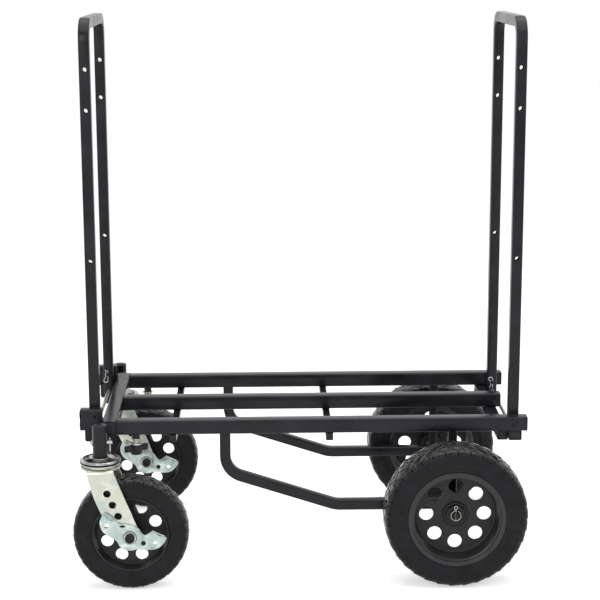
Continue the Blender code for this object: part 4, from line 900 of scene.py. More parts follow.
@dataclass
class OuterRails:
    """The three outer tubes of the deck, with the lock bosses and the rear foot boxes of the side ones."""

    body: str = "rear_frame"
    setback: float = 25.0 * MM
    boss_radius: float = 7.0 * MM
    boss_height: float = 8.1 * MM
    stud_hole: float = 4.4 * MM
    foot_front_x: float = 369.0 * MM
    foot_width: float = 23.0 * MM
    foot_height: float = 17.7 * MM
    foot_wall: float = 2.0 * MM
    foot_bead_inset: float = 2.0 * MM
    foot_plug: float = 4.0 * MM
    foot_plug_inset: float = 0.5 * MM

    @property
    def foot_half(self) -> float:
        """Half the foot box's length across the cart."""
        return DECK.rail_side / 2 - DECK.rail_corner

    def foot_middle(self, y: float) -> Array:
        """Middle of the foot box under a side rail."""
        return point(self.foot_front_x + self.foot_width / 2, y, DECK.underside + FIT - self.foot_height / 2)

    def tube(self, y: float, rear_x: float) -> Surface:
        """One rail from the front cross tube to its rear end."""
        path = np.array([[DECK.front_x, y, DECK.rail_z], [rear_x, y, DECK.rail_z]])
        return square_tube(path, Y_AXIS, DECK.rail_side, DECK.rail_corner, DECK.rail_wall)

    def foot_box(self, y: float) -> Surface:
        """The short box section under a side rail's rear end, open to both sides."""
        half = self.foot_half * Y_AXIS
        path = np.array([self.foot_middle(y) - half, self.foot_middle(y) + half])
        return box_tube(path, Z_AXIS, self.foot_height, self.foot_width, self.foot_wall, self.foot_wall,
                        0.6 * MM)

    def foot_plugs(self, y: float) -> Surface:
        """Plugs a little inside both mouths of the foot box."""
        mouth = self.foot_half - self.foot_plug_inset
        play = 2 * self.foot_wall + PLUG_PLAY
        section = rounded_rectangle(self.foot_height - play, self.foot_width - play, 0.8 * MM)
        plug = np.outer([mouth - self.foot_plug, mouth], Y_AXIS)
        ends = [self.foot_middle(y) + sign * plug for sign in SIGNS]
        return Surface.joined([bar(end, Z_AXIS, section) for end in ends])

    def boss(self, y: float) -> Surface:
        """The round boss that the lock screw turns in."""
        low = DECK.underside - self.boss_height
        high = DECK.underside + FIT
        outer, inner = self.boss_radius, self.stud_hole
        loop = [(inner, low), (outer - 0.5 * MM, low), (outer, low + 0.5 * MM), (outer, high), (inner, high)]
        return turned(loop, point(DECK.lock_x, y, 0.0), Z_AXIS, 40, loop=True)

    def beads(self, y: float) -> list[Surface]:
        """Weld beads where the foot box meets the rail, on both sides."""
        middle = point(self.foot_front_x + self.foot_width / 2, y, DECK.underside)
        run = self.foot_width / 2 - self.foot_bead_inset
        return twin_beads(middle, run * X_AXIS, self.foot_half * Y_AXIS)

    def end_cap(self, y: float, rear_x: float) -> Surface:
        """The domed plug in a rail's rear end."""
        lip = DECK.rail_side
        inside = lip - 2 * DECK.rail_wall - 2 * DECK.weld_gap
        rise = np.array([-10.0, 0.3, 0.3, 1.1, 1.6, 1.9, 2.0]) * MM
        width = np.array([inside, inside, lip, lip, lip - 0.8 * MM, lip - 2.4 * MM, lip - 5.0 * MM])
        middle = point(rear_x, y, DECK.rail_z)
        return domed_plug(middle, (X_AXIS, Y_AXIS, Z_AXIS), rise, width, DECK.rail_corner / lip)

    def build(self, shop: Workshop) -> None:
        """Makes the rails, their end caps and the plugs of the foot boxes."""
        centre_x = DECK.rear_x - self.setback
        shop.finish("deck_rail_centre", self.tube(0.0, centre_x), PowderCoat(), self.body,
                    "outer_rail_centre")
        shop.finish("deck_rail_cap_centre", self.end_cap(0.0, centre_x), MouldedPlastic(), self.body,
                    "rail_end_cap_centre")
        for side in Side:
            y = side.sign * DECK.rail_spacing
            hinge = hole(point(DECK.rear_hinge_x, y, DECK.rail_z), Y_AXIS, DECK.rail_side, DECK.pin_hole)
            stud = rod(point(DECK.lock_x, y, DECK.underside - self.boss_height),
                       point(DECK.lock_x, y, DECK.rail_z), self.stud_hole)
            shop.finish("deck_rail", self.tube(y, DECK.rear_x), PowderCoat(), self.body, "outer_rail", side,
                        cutters=[hinge, stud], fittings=[self.foot_box(y), self.boss(y)] + self.beads(y))
            shop.finish("deck_rail_cap", self.end_cap(y, DECK.rear_x), MouldedPlastic(), self.body,
                        "rail_end_cap", side)
            shop.finish("deck_foot_plugs", self.foot_plugs(y), MouldedPlastic(), self.body, side=side,
                        bevel=PLUG_BEVEL)


@dataclass
class UnderBars:
    """The bars and the tube across the underside of the rails, with their weld beads."""

    body: str = "rear_frame"
    bar_side: float = 12.7 * MM
    front_bar_x: float = -227.2 * MM
    rear_bar_x: float = 50.1 * MM
    cross_tube_x: float = 359.2 * MM
    cross_tube_side: float = 19.0 * MM
    cross_tube_wall: float = 1.6 * MM

    @property
    def cross_tube_path(self) -> Array:
        """The cross tube's line under the rails."""
        return across_cart(self.cross_tube_x, DECK.rail_spacing, DECK.weld_z - self.cross_tube_side / 2)

    def bar_surface(self, x: float) -> Surface:
        """A square bar across all three rails."""
        path = across_cart(x, DECK.outer_face, DECK.weld_z - self.bar_side / 2)
        return bar(path, X_AXIS, rounded_rectangle(self.bar_side, self.bar_side, 1.2 * MM))

    def cross_tube(self) -> Surface:
        """The tube under the rear ends of the rails."""
        return square_tube(self.cross_tube_path, X_AXIS, self.cross_tube_side, 2.2 * MM,
                           self.cross_tube_wall)

    def plugs(self) -> Surface:
        """Square plugs in the ends of the cross tube."""
        size = self.cross_tube_side - 2 * self.cross_tube_wall - PLUG_PLAY
        return end_plugs(self.cross_tube_path, size, 1.0 * MM, 0.6 * MM)

    def beads(self) -> Surface:
        """Weld beads along both sides of each crossing."""
        crossings = [(self.front_bar_x, self.bar_side), (self.rear_bar_x, self.bar_side),
                     (self.cross_tube_x, self.cross_tube_side)]
        run = 0.38 * DECK.rail_side * Y_AXIS
        made = []
        for x, side in crossings:
            for y in DECK.rail_lines:
                made += twin_beads(point(x, y, DECK.underside - FIT), run, side / 2 * X_AXIS)
        return Surface.joined(made)

    def build(self, shop: Workshop) -> None:
        """Makes the bars, the tube, its plugs and the beads."""
        for node, x in (("under_bar_front", self.front_bar_x), ("under_bar_rear", self.rear_bar_x)):
            shop.finish(node + "_dressed", self.bar_surface(x), PowderCoat(), self.body, node)
        shop.finish("rear_cross_tube_dressed", self.cross_tube(), PowderCoat(), self.body, "rear_cross_tube")
        shop.finish("rear_cross_tube_plugs", self.plugs(), MouldedPlastic(), self.body, bevel=PLUG_BEVEL)
        shop.finish("under_bar_weld_beads", self.beads(), PowderCoat(), self.body, crease=ROUND_CREASE)


@dataclass
class AxleCarrier:
    """The two bent tubes under the deck, their posts, and the axle with its sleeves, washers and clips."""

    body: str = "rear_frame"
    side: float = 19.0 * MM
    wall: float = 1.6 * MM
    corner: float = 3.5 * MM
    front_x: float = -135.2 * MM
    drop: float = 71.4 * MM
    low_x: float = 61.5 * MM
    front_bend: float = 40.0 * MM
    low_bend: float = 60.0 * MM
    tail: float = 14.0 * MM
    post_side: float = 16.0 * MM
    axle_radius: float = 7.9 * MM
    shoulder: float = 191.9 * MM
    axle_end: float = 234.6 * MM
    sleeve_radius: float = 11.0 * MM
    clip_y: float = 229.85 * MM
    washer_y: float = 225.0 * MM

    def strut(self, y: float) -> Surface:
        """The bent tube from a side rail down and back to the axle."""
        corners = [(self.front_x, y, DECK.weld_z), (self.front_x, y, DECK.underside - self.drop),
                   (self.low_x, y, DECK.axle_z), (DECK.axle_x + self.tail, y, DECK.axle_z)]
        path = bent_path(corners, (self.front_bend, self.low_bend), steps=24)
        return square_tube(path, Y_AXIS, self.side, self.corner, self.wall)

    def post(self, y: float) -> Surface:
        """The upright tube between the axle and the rail."""
        foot = DECK.axle_z + self.side / 2 - 0.8 * MM
        path = np.array([[DECK.axle_x, y, foot], [DECK.axle_x, y, DECK.weld_z]])
        return square_tube(path, Y_AXIS, self.post_side, 2.2 * MM, 1.6 * MM)

    def tail_plug(self, y: float) -> Surface:
        """The plug in the tail of a bent tube."""
        inside = self.side - 2 * self.wall - PLUG_PLAY
        end = DECK.axle_x + self.tail
        path = np.array([[end - PLUG_DEPTH, y, DECK.axle_z], [end + 0.8 * MM, y, DECK.axle_z]])
        return bar(path, Y_AXIS, rounded_rectangle(inside, inside, 1.5 * MM))

    def beads(self, y: float) -> Surface:
        """Weld beads at the tops of the bent tube and the post, and at the post's foot."""
        top = DECK.underside - FIT
        made = []
        for x, side, z in ((self.front_x, self.side, top), (DECK.axle_x, self.post_side, top),
                           (DECK.axle_x, self.post_side, DECK.axle_z + self.side / 2)):
            run, apart = 0.36 * side, side / 2
            made += twin_beads(point(x, y, z), run * Y_AXIS, apart * X_AXIS, 1.6 * MM)
            made += twin_beads(point(x, y, z), run * X_AXIS, apart * Y_AXIS)
        return Surface.joined(made)

    def axle(self) -> Surface:
        """The stepped axle rod with chamfered ends."""
        thick, thin = self.axle_radius, DECK.axle_journal
        end, step, chamfer = self.axle_end, self.shoulder, 0.8 * MM
        profile = [(0.0, -end), (thin - chamfer, -end), (thin, chamfer - end), (thin, -step), (thick, -step),
                   (thick, step), (thin, step), (thin, end - chamfer), (thin - chamfer, end), (0.0, end)]
        return turned(profile, point(DECK.axle_x, 0.0, DECK.axle_z), Y_AXIS, 40)

    def slot(self, side: Side) -> Surface:
        """Cutter for the upright slot in an axle end, in which the clip's leg shows."""
        ends = side.sign * np.array([self.clip_y - 0.8 * MM, self.axle_end + 1.0 * MM])
        path = np.stack([np.full(2, DECK.axle_x), ends, np.full(2, DECK.axle_z)], axis=-1)
        return bar(path, X_AXIS, rounded_rectangle(2.2 * MM, 3 * DECK.axle_journal, 0.3 * MM))

    def sleeves(self) -> list[Surface]:
        """Spacer sleeves between the struts and the wheels."""
        bore, outer, soft = self.axle_radius + FIT, self.sleeve_radius, 0.5 * MM
        start = DECK.rail_spacing + self.side / 2 + DECK.weld_gap
        end = self.shoulder - FIT
        loop = [(bore, start), (outer - soft, start), (outer, start + soft), (outer, end - soft),
                (outer - soft, end), (bore, end)]
        middle = point(DECK.axle_x, 0.0, DECK.axle_z)
        return [turned(loop, middle, sign * Y_AXIS, 40, loop=True) for sign in SIGNS]

    def ring_clip(self, side: Side) -> Surface:
        """The ring clip through an axle end: a leg, a small eye above it, and a ring round the axle.

        Formula: a line down through the axle, then an arc of a small circle, then an arc of a large one that
        passes outside the leg, each a cosine and a sine of its own angle about its own centre.
        """
        ring, eye, wire_radius = 8.8 * MM, 2.9 * MM, 0.7 * MM
        eye_z = 14.6 * MM
        leg = np.stack([np.zeros(12), np.linspace(-ring - 1.5 * MM, eye_z - eye, 12)], axis=-1)
        turn = np.radians(np.linspace(-90.0, 235.0, 30))
        eye_arc = np.stack([eye * np.cos(turn), eye_z + eye * np.sin(turn)], axis=-1)
        sweep = np.radians(np.linspace(112.0, 428.0, 64))
        ring_arc = ring * np.stack([np.cos(sweep), np.sin(sweep)], axis=-1)
        flat = evenly(np.concatenate([leg, eye_arc[1:], ring_arc]), 150)
        progress = np.linspace(0.0, 1.0, len(flat))
        lift = 2.2 * wire_radius * np.clip((progress - 0.25) / 0.2, 0.0, 1.0)
        shift = side.sign * (self.clip_y + lift)
        path = np.stack([DECK.axle_x + flat[:, 0], shift, DECK.axle_z + flat[:, 1]], axis=-1)
        return wire(path, wire_radius, Y_AXIS)

    def washer(self, side: Side) -> Surface:
        """The flat washer between a wheel's bush and its clip."""
        bore, rim, thick = 6.6 * MM, 16.6 * MM, 1.4 * MM
        loop = [(bore, 0.0), (rim, 0.0), (rim, thick), (bore, thick)]
        centre = point(DECK.axle_x, side.sign * self.washer_y, DECK.axle_z)
        return turned(loop, centre, side.sign * Y_AXIS, 48, loop=True)

    def build(self, shop: Workshop) -> None:
        """Makes the bent tubes, posts, axle, sleeves, washers and clips."""
        for side in Side:
            y = side.sign * DECK.rail_spacing
            bore = hole(point(DECK.axle_x, y, DECK.axle_z), Y_AXIS, self.side, self.axle_radius + FIT)
            shop.finish("axle_tube", self.strut(y), PowderCoat(), self.body, "axle_strut", side,
                        cutters=[bore], fittings=[self.post(y)])
            shop.finish("axle_tube_weld_beads", self.beads(y), PowderCoat(), self.body, side=side,
                        crease=ROUND_CREASE)
            shop.finish("axle_tube_plug", self.tail_plug(y), MouldedPlastic(), self.body, side=side,
                        bevel=PLUG_BEVEL)
            shop.finish("axle_ring_clip", self.ring_clip(side), ZincPlate(), self.body, "axle_clip", side,
                        crease=ROUND_CREASE)
            shop.finish("axle_washer", self.washer(side), DarkSteel(), self.body, side=side, bevel=0.2 * MM)
        shop.finish("axle_rod", self.axle(), DarkSteel(), self.body, "rear_axle",
                    cutters=[self.slot(side) for side in Side])
        sleeves = Surface.joined(self.sleeves())
        shop.finish("axle_sleeves", sleeves, ZincPlate(tint=ZincTint.PLAIN), self.body)


@dataclass
class TreadPattern:
    """Zigzag valleys round a tyre, with notches through the shoulders."""

    repeats: int
    inner_valley: float
    outer_valley: float
    edge: float
    zigzag: float
    valley: float
    notch: float
    depth: float
    sidewall_step: float

    def depth_at(self, turn: Array, across: Array, radius: float) -> Array:
        """How deep the tread lies below the tyre's envelope.

        Formula: with p the number of pattern repeats turned and z(p) a triangle wave, valleys follow
        |across| = inner valley + zigzag z(p) and outer valley + zigzag z(p + 1/2). Each rib falls by half of
        the depth from one of its corners to the next. A notch starts at each outer corner of the outer
        valley and widens towards the edge, and beyond edge + 0.5 zigzag z(p + 1/2) the sidewall lies lower
        by its step. The two halves are half a repeat apart.

        Args:
            turn: Angle round the tyre for each point.
            across: Distance along the profile from the middle of the tread.
            radius: Outer radius of the tyre.

        Returns:
            Depth in metres for each point.
        """
        away = np.abs(across)
        repeat = turn * self.repeats / (2.0 * np.pi) + np.where(across < 0.0, 0.5, 0.0)
        pitch = 2.0 * np.pi * radius / self.repeats
        inner = self.inner_valley + self.zigzag * self.wave(repeat)
        outer = self.outer_valley + self.zigzag * self.wave(repeat + 0.5)
        edge = self.edge + 0.5 * self.zigzag * self.wave(repeat + 0.5)
        valleys = np.maximum(self.valley_at(away - inner), self.valley_at(away - outer))
        beyond = np.clip((away - outer) / (edge - outer), 0.0, 1.0)
        from_corner = np.abs(repeat - np.round(repeat)) * pitch
        notches = np.clip((0.5 * self.notch * beyond - from_corner) / (0.8 * MM) + 1.0, 0.0, 1.0)
        notches *= beyond > 0.0
        facets = 0.5 * np.abs(repeat + away / (3.0 * self.outer_valley) - np.floor(repeat + 0.5))
        tread = self.depth * np.maximum(np.maximum(valleys, notches), facets)
        wall = np.clip(0.5 + (away - edge) / (1.6 * MM), 0.0, 1.0)
        return tread * (1.0 - wall) + self.sidewall_step * wall

    def valley_at(self, distance: Array) -> Array:
        """One along the line of a valley, falling to nought at its edges over sloping walls."""
        slope = 0.35 * self.valley
        return np.clip((0.5 * self.valley + 0.5 * slope - np.abs(distance)) / slope, 0.0, 1.0)

    def wave(self, repeat: Array) -> Array:
        """A triangle wave from -1 to 1."""
        return 4.0 * np.abs(repeat - np.floor(repeat + 0.5)) - 1.0


@dataclass
class Wheel:
    """A moulded rim with a holed disc, a solid tyre and a hub bush."""

    kind: str
    side: Side
    centre: Array
    body: str
    radius: float
    width: float
    rim: float
    disc: float
    half_disc: float
    hub: float
    hub_outer: float
    hub_inner: float
    bush: float
    flange: float
    shaft: float
    hole_circle: float
    hole_radius: float
    first_hole: float
    outward: int
    tread: TreadPattern
    steps_round: int
    flange_look: Finish = field(default_factory=MouldedPlastic)
    holes: int = 8
    rim_inset: float = 2.5 * MM
    barrel_depth: float = 3.5 * MM
    gap: float = 0.3 * MM
    tread_reach: float = 6.0 * MM

    @property
    def half_rim(self) -> float:
        """Half the rim's width."""
        return self.width / 2 - self.rim_inset

    @property
    def barrel(self) -> float:
        """Radius of the barrel under the tyre."""
        return self.disc + self.barrel_depth

    def rim_side(self, hub_face: float) -> list[tuple[float, float]]:
        """Corners of one side of the rim, from the hub's bore over the disc to under the tyre."""
        lip = self.rim - self.disc
        half = self.half_rim
        ring = self.hub - 3.2 * MM
        collar = self.flange + 0.8 * MM
        groove = hub_face - 2.2 * MM
        return [
            (self.bush + self.gap, hub_face), (collar, hub_face), (collar, groove), (ring, groove),
            (ring, hub_face), (self.hub, hub_face), (self.hub + 0.5 * MM, self.half_disc - 1.2 * MM),
            (self.hub + 2.1 * MM, self.half_disc - 1.2 * MM), (self.hub + 2.6 * MM, self.half_disc),
            (self.disc - 4.6 * MM, self.half_disc), (self.disc - 4.0 * MM, self.half_disc + 0.8 * MM),
            (self.disc - 2.4 * MM, self.half_disc + 0.8 * MM), (self.disc, self.half_disc + 2.6 * MM),
            (self.disc + 0.22 * lip, 0.62 * half), (self.disc + 0.27 * lip, 0.63 * half),
            (self.disc + 0.42 * lip, half - 0.8 * MM), (self.disc + 0.52 * lip, half - 0.2 * MM),
            (self.rim, half), (self.barrel, half - 2 * self.rim_inset),
        ]

    def rim_loop(self) -> Array:
        """Closed profile of the rim, its outer side first."""
        turns = [0.2, 0.3, 0.3, 0.3, 0.4, 1.0, 0.3, 0.3, 0.3, 0.3, 0.3, 0.5, 1.6, 0.4, 0.4, 0.8, 0.8, 0.5,
                 0.4]
        inner = [(radius, -height) for radius, height in reversed(self.rim_side(self.hub_inner))]
        corners = self.rim_side(self.hub_outer) + inner
        return bent_path(corners, np.array(turns + turns[::-1]) * MM, steps=3, closed=True)

    def hole_cutters(self) -> list[Surface]:
        """Cutters for the round holes in the disc."""
        angles = np.radians(self.first_hole + 360.0 * np.arange(self.holes) / self.holes)
        spokes = np.stack([np.cos(angles), np.zeros(self.holes), np.sin(angles)], axis=-1)
        places = self.centre + self.hole_circle * spokes
        return [flared_hole(place, Y_AXIS, self.half_disc, self.hole_radius, 0.7 * MM) for place in places]

    def tyre_curve(self) -> Array:
        """Outer profile of the tyre from the near bead over the tread to the far bead, at even steps."""
        depth = self.radius - self.rim
        half = self.width / 2
        side = [(self.rim + 0.7 * MM, self.half_rim - 0.2 * MM),
                (self.rim + 3.2 * MM, self.half_rim + 0.6 * MM),
                (self.rim + 0.34 * depth, half), (self.rim + 0.74 * depth, half - 0.03 * depth),
                (self.radius - 0.045 * depth, 0.78 * half), (self.radius, 0.34 * half)]
        mirrored = [(radius, -height) for radius, height in reversed(side)]
        turns = [1.5, 0.26 * depth / MM, 0.22 * depth / MM, 0.22 * depth / MM, 40.0]
        curve = bent_path(side + mirrored, np.array(turns + turns[::-1]) * MM, steps=8)
        return evenly(curve, 110)

    def tyre_surface(self) -> Surface:
        """The tyre with its tread.

        Formula: each profile point is pushed inwards along the profile's normal by the tread's depth there,
        and then turned about the axle.
        """
        curve = self.tyre_curve()
        slope = unit(np.gradient(curve, axis=0))
        inward = np.stack([slope[:, 1], -slope[:, 0]], axis=-1)
        run = np.concatenate([[0.0], np.cumsum(np.linalg.norm(np.diff(curve, axis=0), axis=-1))])
        across = run - run[-1] / 2
        turn = np.linspace(0.0, 2.0 * np.pi, self.steps_round, endpoint=False)
        depth = self.tread.depth_at(turn[None, :], across[:, None], self.radius)
        fade = np.clip((curve[:, 0] - self.rim - 2.0 * MM) / (3.0 * MM), 0.0, 1.0)[:, None]
        profile = curve[:, None, :] + inward[:, None, :] * (depth * fade)[..., None]
        inner = np.array([[self.barrel + self.gap, 2 * self.rim_inset - self.half_rim],
                          [self.barrel + self.gap, self.half_rim - 2 * self.rim_inset]])
        inner_rows = np.broadcast_to(inner[:, None, :], (2, self.steps_round, 2))
        loop = np.concatenate([profile, inner_rows])
        grid = np.stack([self.centre[0] + loop[..., 0] * np.cos(turn), self.centre[1] - loop[..., 1],
                         self.centre[2] + loop[..., 0] * np.sin(turn)], axis=-1)
        return Surface.from_grid(grid, wrap_rows=True)

    def bush_surface(self) -> Surface:
        """The hub's bush with its flange on the outer face."""
        bore = self.shaft + 0.4 * MM
        foot, face = -self.hub_inner, self.hub_outer
        soft = self.flange - 0.4 * MM
        loop = [(bore, foot), (self.bush, foot), (self.bush, face + self.gap), (soft, face + self.gap),
                (self.flange, face + 0.7 * MM), (self.flange, face + 1.9 * MM), (soft, face + 2.3 * MM),
                (bore + 0.5 * MM, face + 2.3 * MM), (bore, face + 1.8 * MM)]
        return turned(loop, self.centre, self.outward * Y_AXIS, 48, loop=True)

    def build(self, shop: Workshop) -> None:
        """Makes the rim, the tyre and the bush."""
        rim = turned(self.rim_loop(), self.centre, self.outward * Y_AXIS, 112, loop=True)
        piece = shop.finish(self.kind + "_wheel_rim", rim, MouldedPlastic(), self.body, self.kind + "_rim",
                            self.side, cutters=self.hole_cutters(), crease=28.0)
        middles = shop.face_middles(piece) - self.centre
        flange_start = self.disc + 0.38 * (self.rim - self.disc)
        shop.accent(piece, self.flange_look, np.hypot(middles[:, 0], middles[:, 2]) > flange_start)
        tyre = shop.finish(self.kind + "_wheel_tyre", self.tyre_surface(), TyreRubber(), self.body,
                           self.kind + "_tyre", self.side, crease=50.0)
        middles = shop.face_middles(tyre) - self.centre
        tread_start = self.radius - self.tread_reach
        shop.accent(tyre, TreadRubber(), np.hypot(middles[:, 0], middles[:, 2]) > tread_start)
        shop.finish(self.kind + "_wheel_bush", self.bush_surface(), DarkSteel(), self.body,
                    self.kind + "_hub_bush", self.side)


def rear_wheel(side: Side) -> Wheel:
    """One of the two large wheels."""
    tread = TreadPattern(
        repeats=34, inner_valley=9.0 * MM, outer_valley=25.0 * MM, edge=37.0 * MM, zigzag=4.6 * MM,
        valley=4.4 * MM, notch=1.6 * MM, depth=3.4 * MM, sidewall_step=1.2 * MM)
    return Wheel(
        "rear", side, point(DECK.axle_x, side.sign * DECK.wheel_y, DECK.axle_z), "rear_wheel_" + side.label,
        radius=DECK.axle_z, width=76.0 * MM, rim=88.0 * MM, disc=71.0 * MM, half_disc=2.5 * MM,
        hub=21.0 * MM, hub_outer=6.0 * MM, hub_inner=24.0 * MM, bush=9.0 * MM, flange=12.0 * MM,
        shaft=DECK.axle_journal, hole_circle=51.0 * MM, hole_radius=12.7 * MM, first_hole=0.0,
        outward=side.sign, tread=tread, steps_round=680, flange_look=SmoothPlastic())


def caster_wheel(side: Side) -> Wheel:
    """One of the two wheels in the swivel forks."""
    tread = TreadPattern(
        repeats=36, inner_valley=6.0 * MM, outer_valley=16.0 * MM, edge=24.5 * MM, zigzag=3.2 * MM,
        valley=3.2 * MM, notch=1.4 * MM, depth=2.2 * MM, sidewall_step=0.9 * MM)
    centre = point(DECK.caster_x + DECK.caster_trail, side.sign * DECK.wheel_y, DECK.caster_axle_z)
    return Wheel(
        "caster", side, centre, "caster_wheel_" + side.label, radius=DECK.caster_axle_z, width=49.0 * MM,
        rim=67.5 * MM, disc=61.0 * MM, half_disc=2.0 * MM, hub=16.0 * MM, hub_outer=26.0 * MM,
        hub_inner=26.0 * MM, bush=8.5 * MM, flange=11.0 * MM, shaft=DECK.caster_bolt,
        hole_circle=46.0 * MM, hole_radius=11.0 * MM, first_hole=22.5, outward=-1, tread=tread,
        steps_round=576)


@dataclass
class HeadedPin:
    """A pin with a domed head and a tapered tip, and a spring clip through its hole."""

    head: Array
    direction: Array
    length: float
    clip_reach: float
    clip_up: int = 1
    radius: float = 3.2 * MM
    head_radius: float = 5.5 * MM
    head_height: float = 2.0 * MM
    clip_wire: float = 0.95 * MM
    loop_radius: float = 4.0 * MM
    neck: float = 3.0 * MM
    tail: float = 4.2 * MM
    look: Finish = field(default_factory=lambda: ZincPlate(tint=ZincTint.PLAIN))

    def pin(self) -> Surface:
        """The pin itself, turned about its own axis."""
        taper = 1.0 * MM
        head, height = self.head_radius, self.head_height
        shank, length = self.radius, self.length
        profile = [(0.0, -height), (0.55 * head, -0.97 * height), (0.85 * head, -0.75 * height),
                   (head, -0.35 * height), (head, 0.0), (shank, 0.0), (shank, length - taper),
                   (shank - taper, length), (0.0, length)]
        return turned(profile, self.head, self.direction, 36)

    def clip(self, across: Array) -> Surface:
        """The spring clip: one leg through the pin, a loop, and a leg that wraps the pin.

        Formula: a straight leg, an arc of the loop's circle, an arc round the pin and a flared end, smoothed
        by passing a closed-form curve through even points.
        """
        wrap = self.radius + self.clip_wire + 0.5 * MM
        reach = wrap + self.tail
        loop_z = -(wrap + self.neck + self.loop_radius)
        leg = np.stack([np.zeros(8), np.linspace(reach, loop_z + self.loop_radius, 8)], axis=-1)
        turn = np.radians(np.linspace(0.0, -205.0, 22))
        loop = np.stack([np.cos(turn) - 1.0, np.sin(turn)], axis=-1) * self.loop_radius + [0.0, loop_z]
        round_pin = np.radians(np.linspace(222.0, 138.0, 14))
        bow = wrap * np.stack([np.cos(round_pin), np.sin(round_pin)], axis=-1)
        end = np.array([[-3.4 * MM, wrap + 1.2 * MM], [-5.2 * MM, reach]])
        flat = evenly(np.concatenate([leg, loop[1:], bow, end]), 90)
        middle = self.head + self.direction * self.clip_reach
        path = middle + flat[:, :1] * across + flat[:, 1:] * self.clip_up * Z_AXIS
        return wire(path, self.clip_wire, self.direction)

    def build(self, shop: Workshop, name: str, nodes: tuple[str, str], body: str, across: Array) -> None:
        """Makes the pin and its clip, which replace two CAD nodes."""
        shop.finish(name + "_pin", self.pin(), self.look, body, nodes[0])
        shop.finish(name + "_clip", self.clip(across), BrightSteel(), body, nodes[1], crease=ROUND_CREASE)


@dataclass
class FoldingHandle:
    """A U-shaped handle of square tube with three holes a leg, its foot plugs and its cross rod."""

    name: str
    pivot_x: float
    pivot_z: float
    foot_below: float
    rod_below: float
    side: float = 19.0 * MM
    wall: float = 1.5 * MM
    corner: float = 3.0 * MM
    top: float = 988.0 * MM
    bend: float = 30.0 * MM
    leg_y: float = 135.8 * MM
    hole_radius: float = 4.0 * MM
    holes_below_top: tuple[float, ...] = (87.0 * MM, 157.0 * MM, 419.5 * MM)
    rod_radius: float = 3.2 * MM

    @property
    def foot_z(self) -> float:
        """Height of the feet."""
        return self.pivot_z - self.foot_below

    @property
    def rod_z(self) -> float:
        """Height of the cross rod."""
        return self.pivot_z - self.rod_below

    def frame(self) -> Surface:
        """The bent tube."""
        top_z = self.top - self.side / 2
        corners = [(self.pivot_x, -self.leg_y, self.foot_z), (self.pivot_x, -self.leg_y, top_z),
                   (self.pivot_x, self.leg_y, top_z), (self.pivot_x, self.leg_y, self.foot_z)]
        path = bent_path(corners, self.bend, steps=22)
        return square_tube(path, X_AXIS, self.side, self.corner, self.wall)

    def cutters(self) -> list[Surface]:
        """Cutters for the holes across both legs."""
        heights = [(self.top - below, self.hole_radius) for below in self.holes_below_top]
        heights += [(self.pivot_z, DECK.pin_hole), (self.rod_z, self.rod_radius + FIT)]
        places = [(z, radius, sign * self.leg_y) for z, radius in heights for sign in SIGNS]
        return [hole(point(self.pivot_x, y, z), Y_AXIS, self.side, radius) for z, radius, y in places]

    def plugs(self) -> Surface:
        """Domed plugs in the feet, with a thin lip under the tube's end."""
        inside = self.side - 2 * self.wall - PLUG_PLAY
        rise = np.array([8.0, -0.1, -0.1, -0.9, -1.5, -1.8]) * MM
        width = np.array([inside, inside, self.side, self.side, self.side - 2.0 * MM, self.side - 6.0 * MM])
        feet = [point(self.pivot_x, sign * self.leg_y, self.foot_z) for sign in SIGNS]
        axes = (Z_AXIS, X_AXIS, Y_AXIS)
        corner = self.corner / self.side
        return Surface.joined([domed_plug(foot, axes, rise, width, corner) for foot in feet])

    def cross_rod(self) -> Surface:
        """The rod between the legs near their feet."""
        start, end = across_cart(self.pivot_x, self.leg_y + self.side / 2, self.rod_z)
        return rod(start, end, self.rod_radius, chamfer=0.5 * MM)

    def build(self, shop: Workshop) -> None:
        """Makes the tube, its plugs and its rod."""
        shop.finish(self.name + "_tube", self.frame(), PowderCoat(), self.name, self.name,
                    cutters=self.cutters())
        shop.finish(self.name + "_plugs", self.plugs(), MouldedPlastic(), self.name)
        shop.finish(self.name + "_cross_rod", self.cross_rod(), ZincPlate(), self.name, self.name + "_rod")


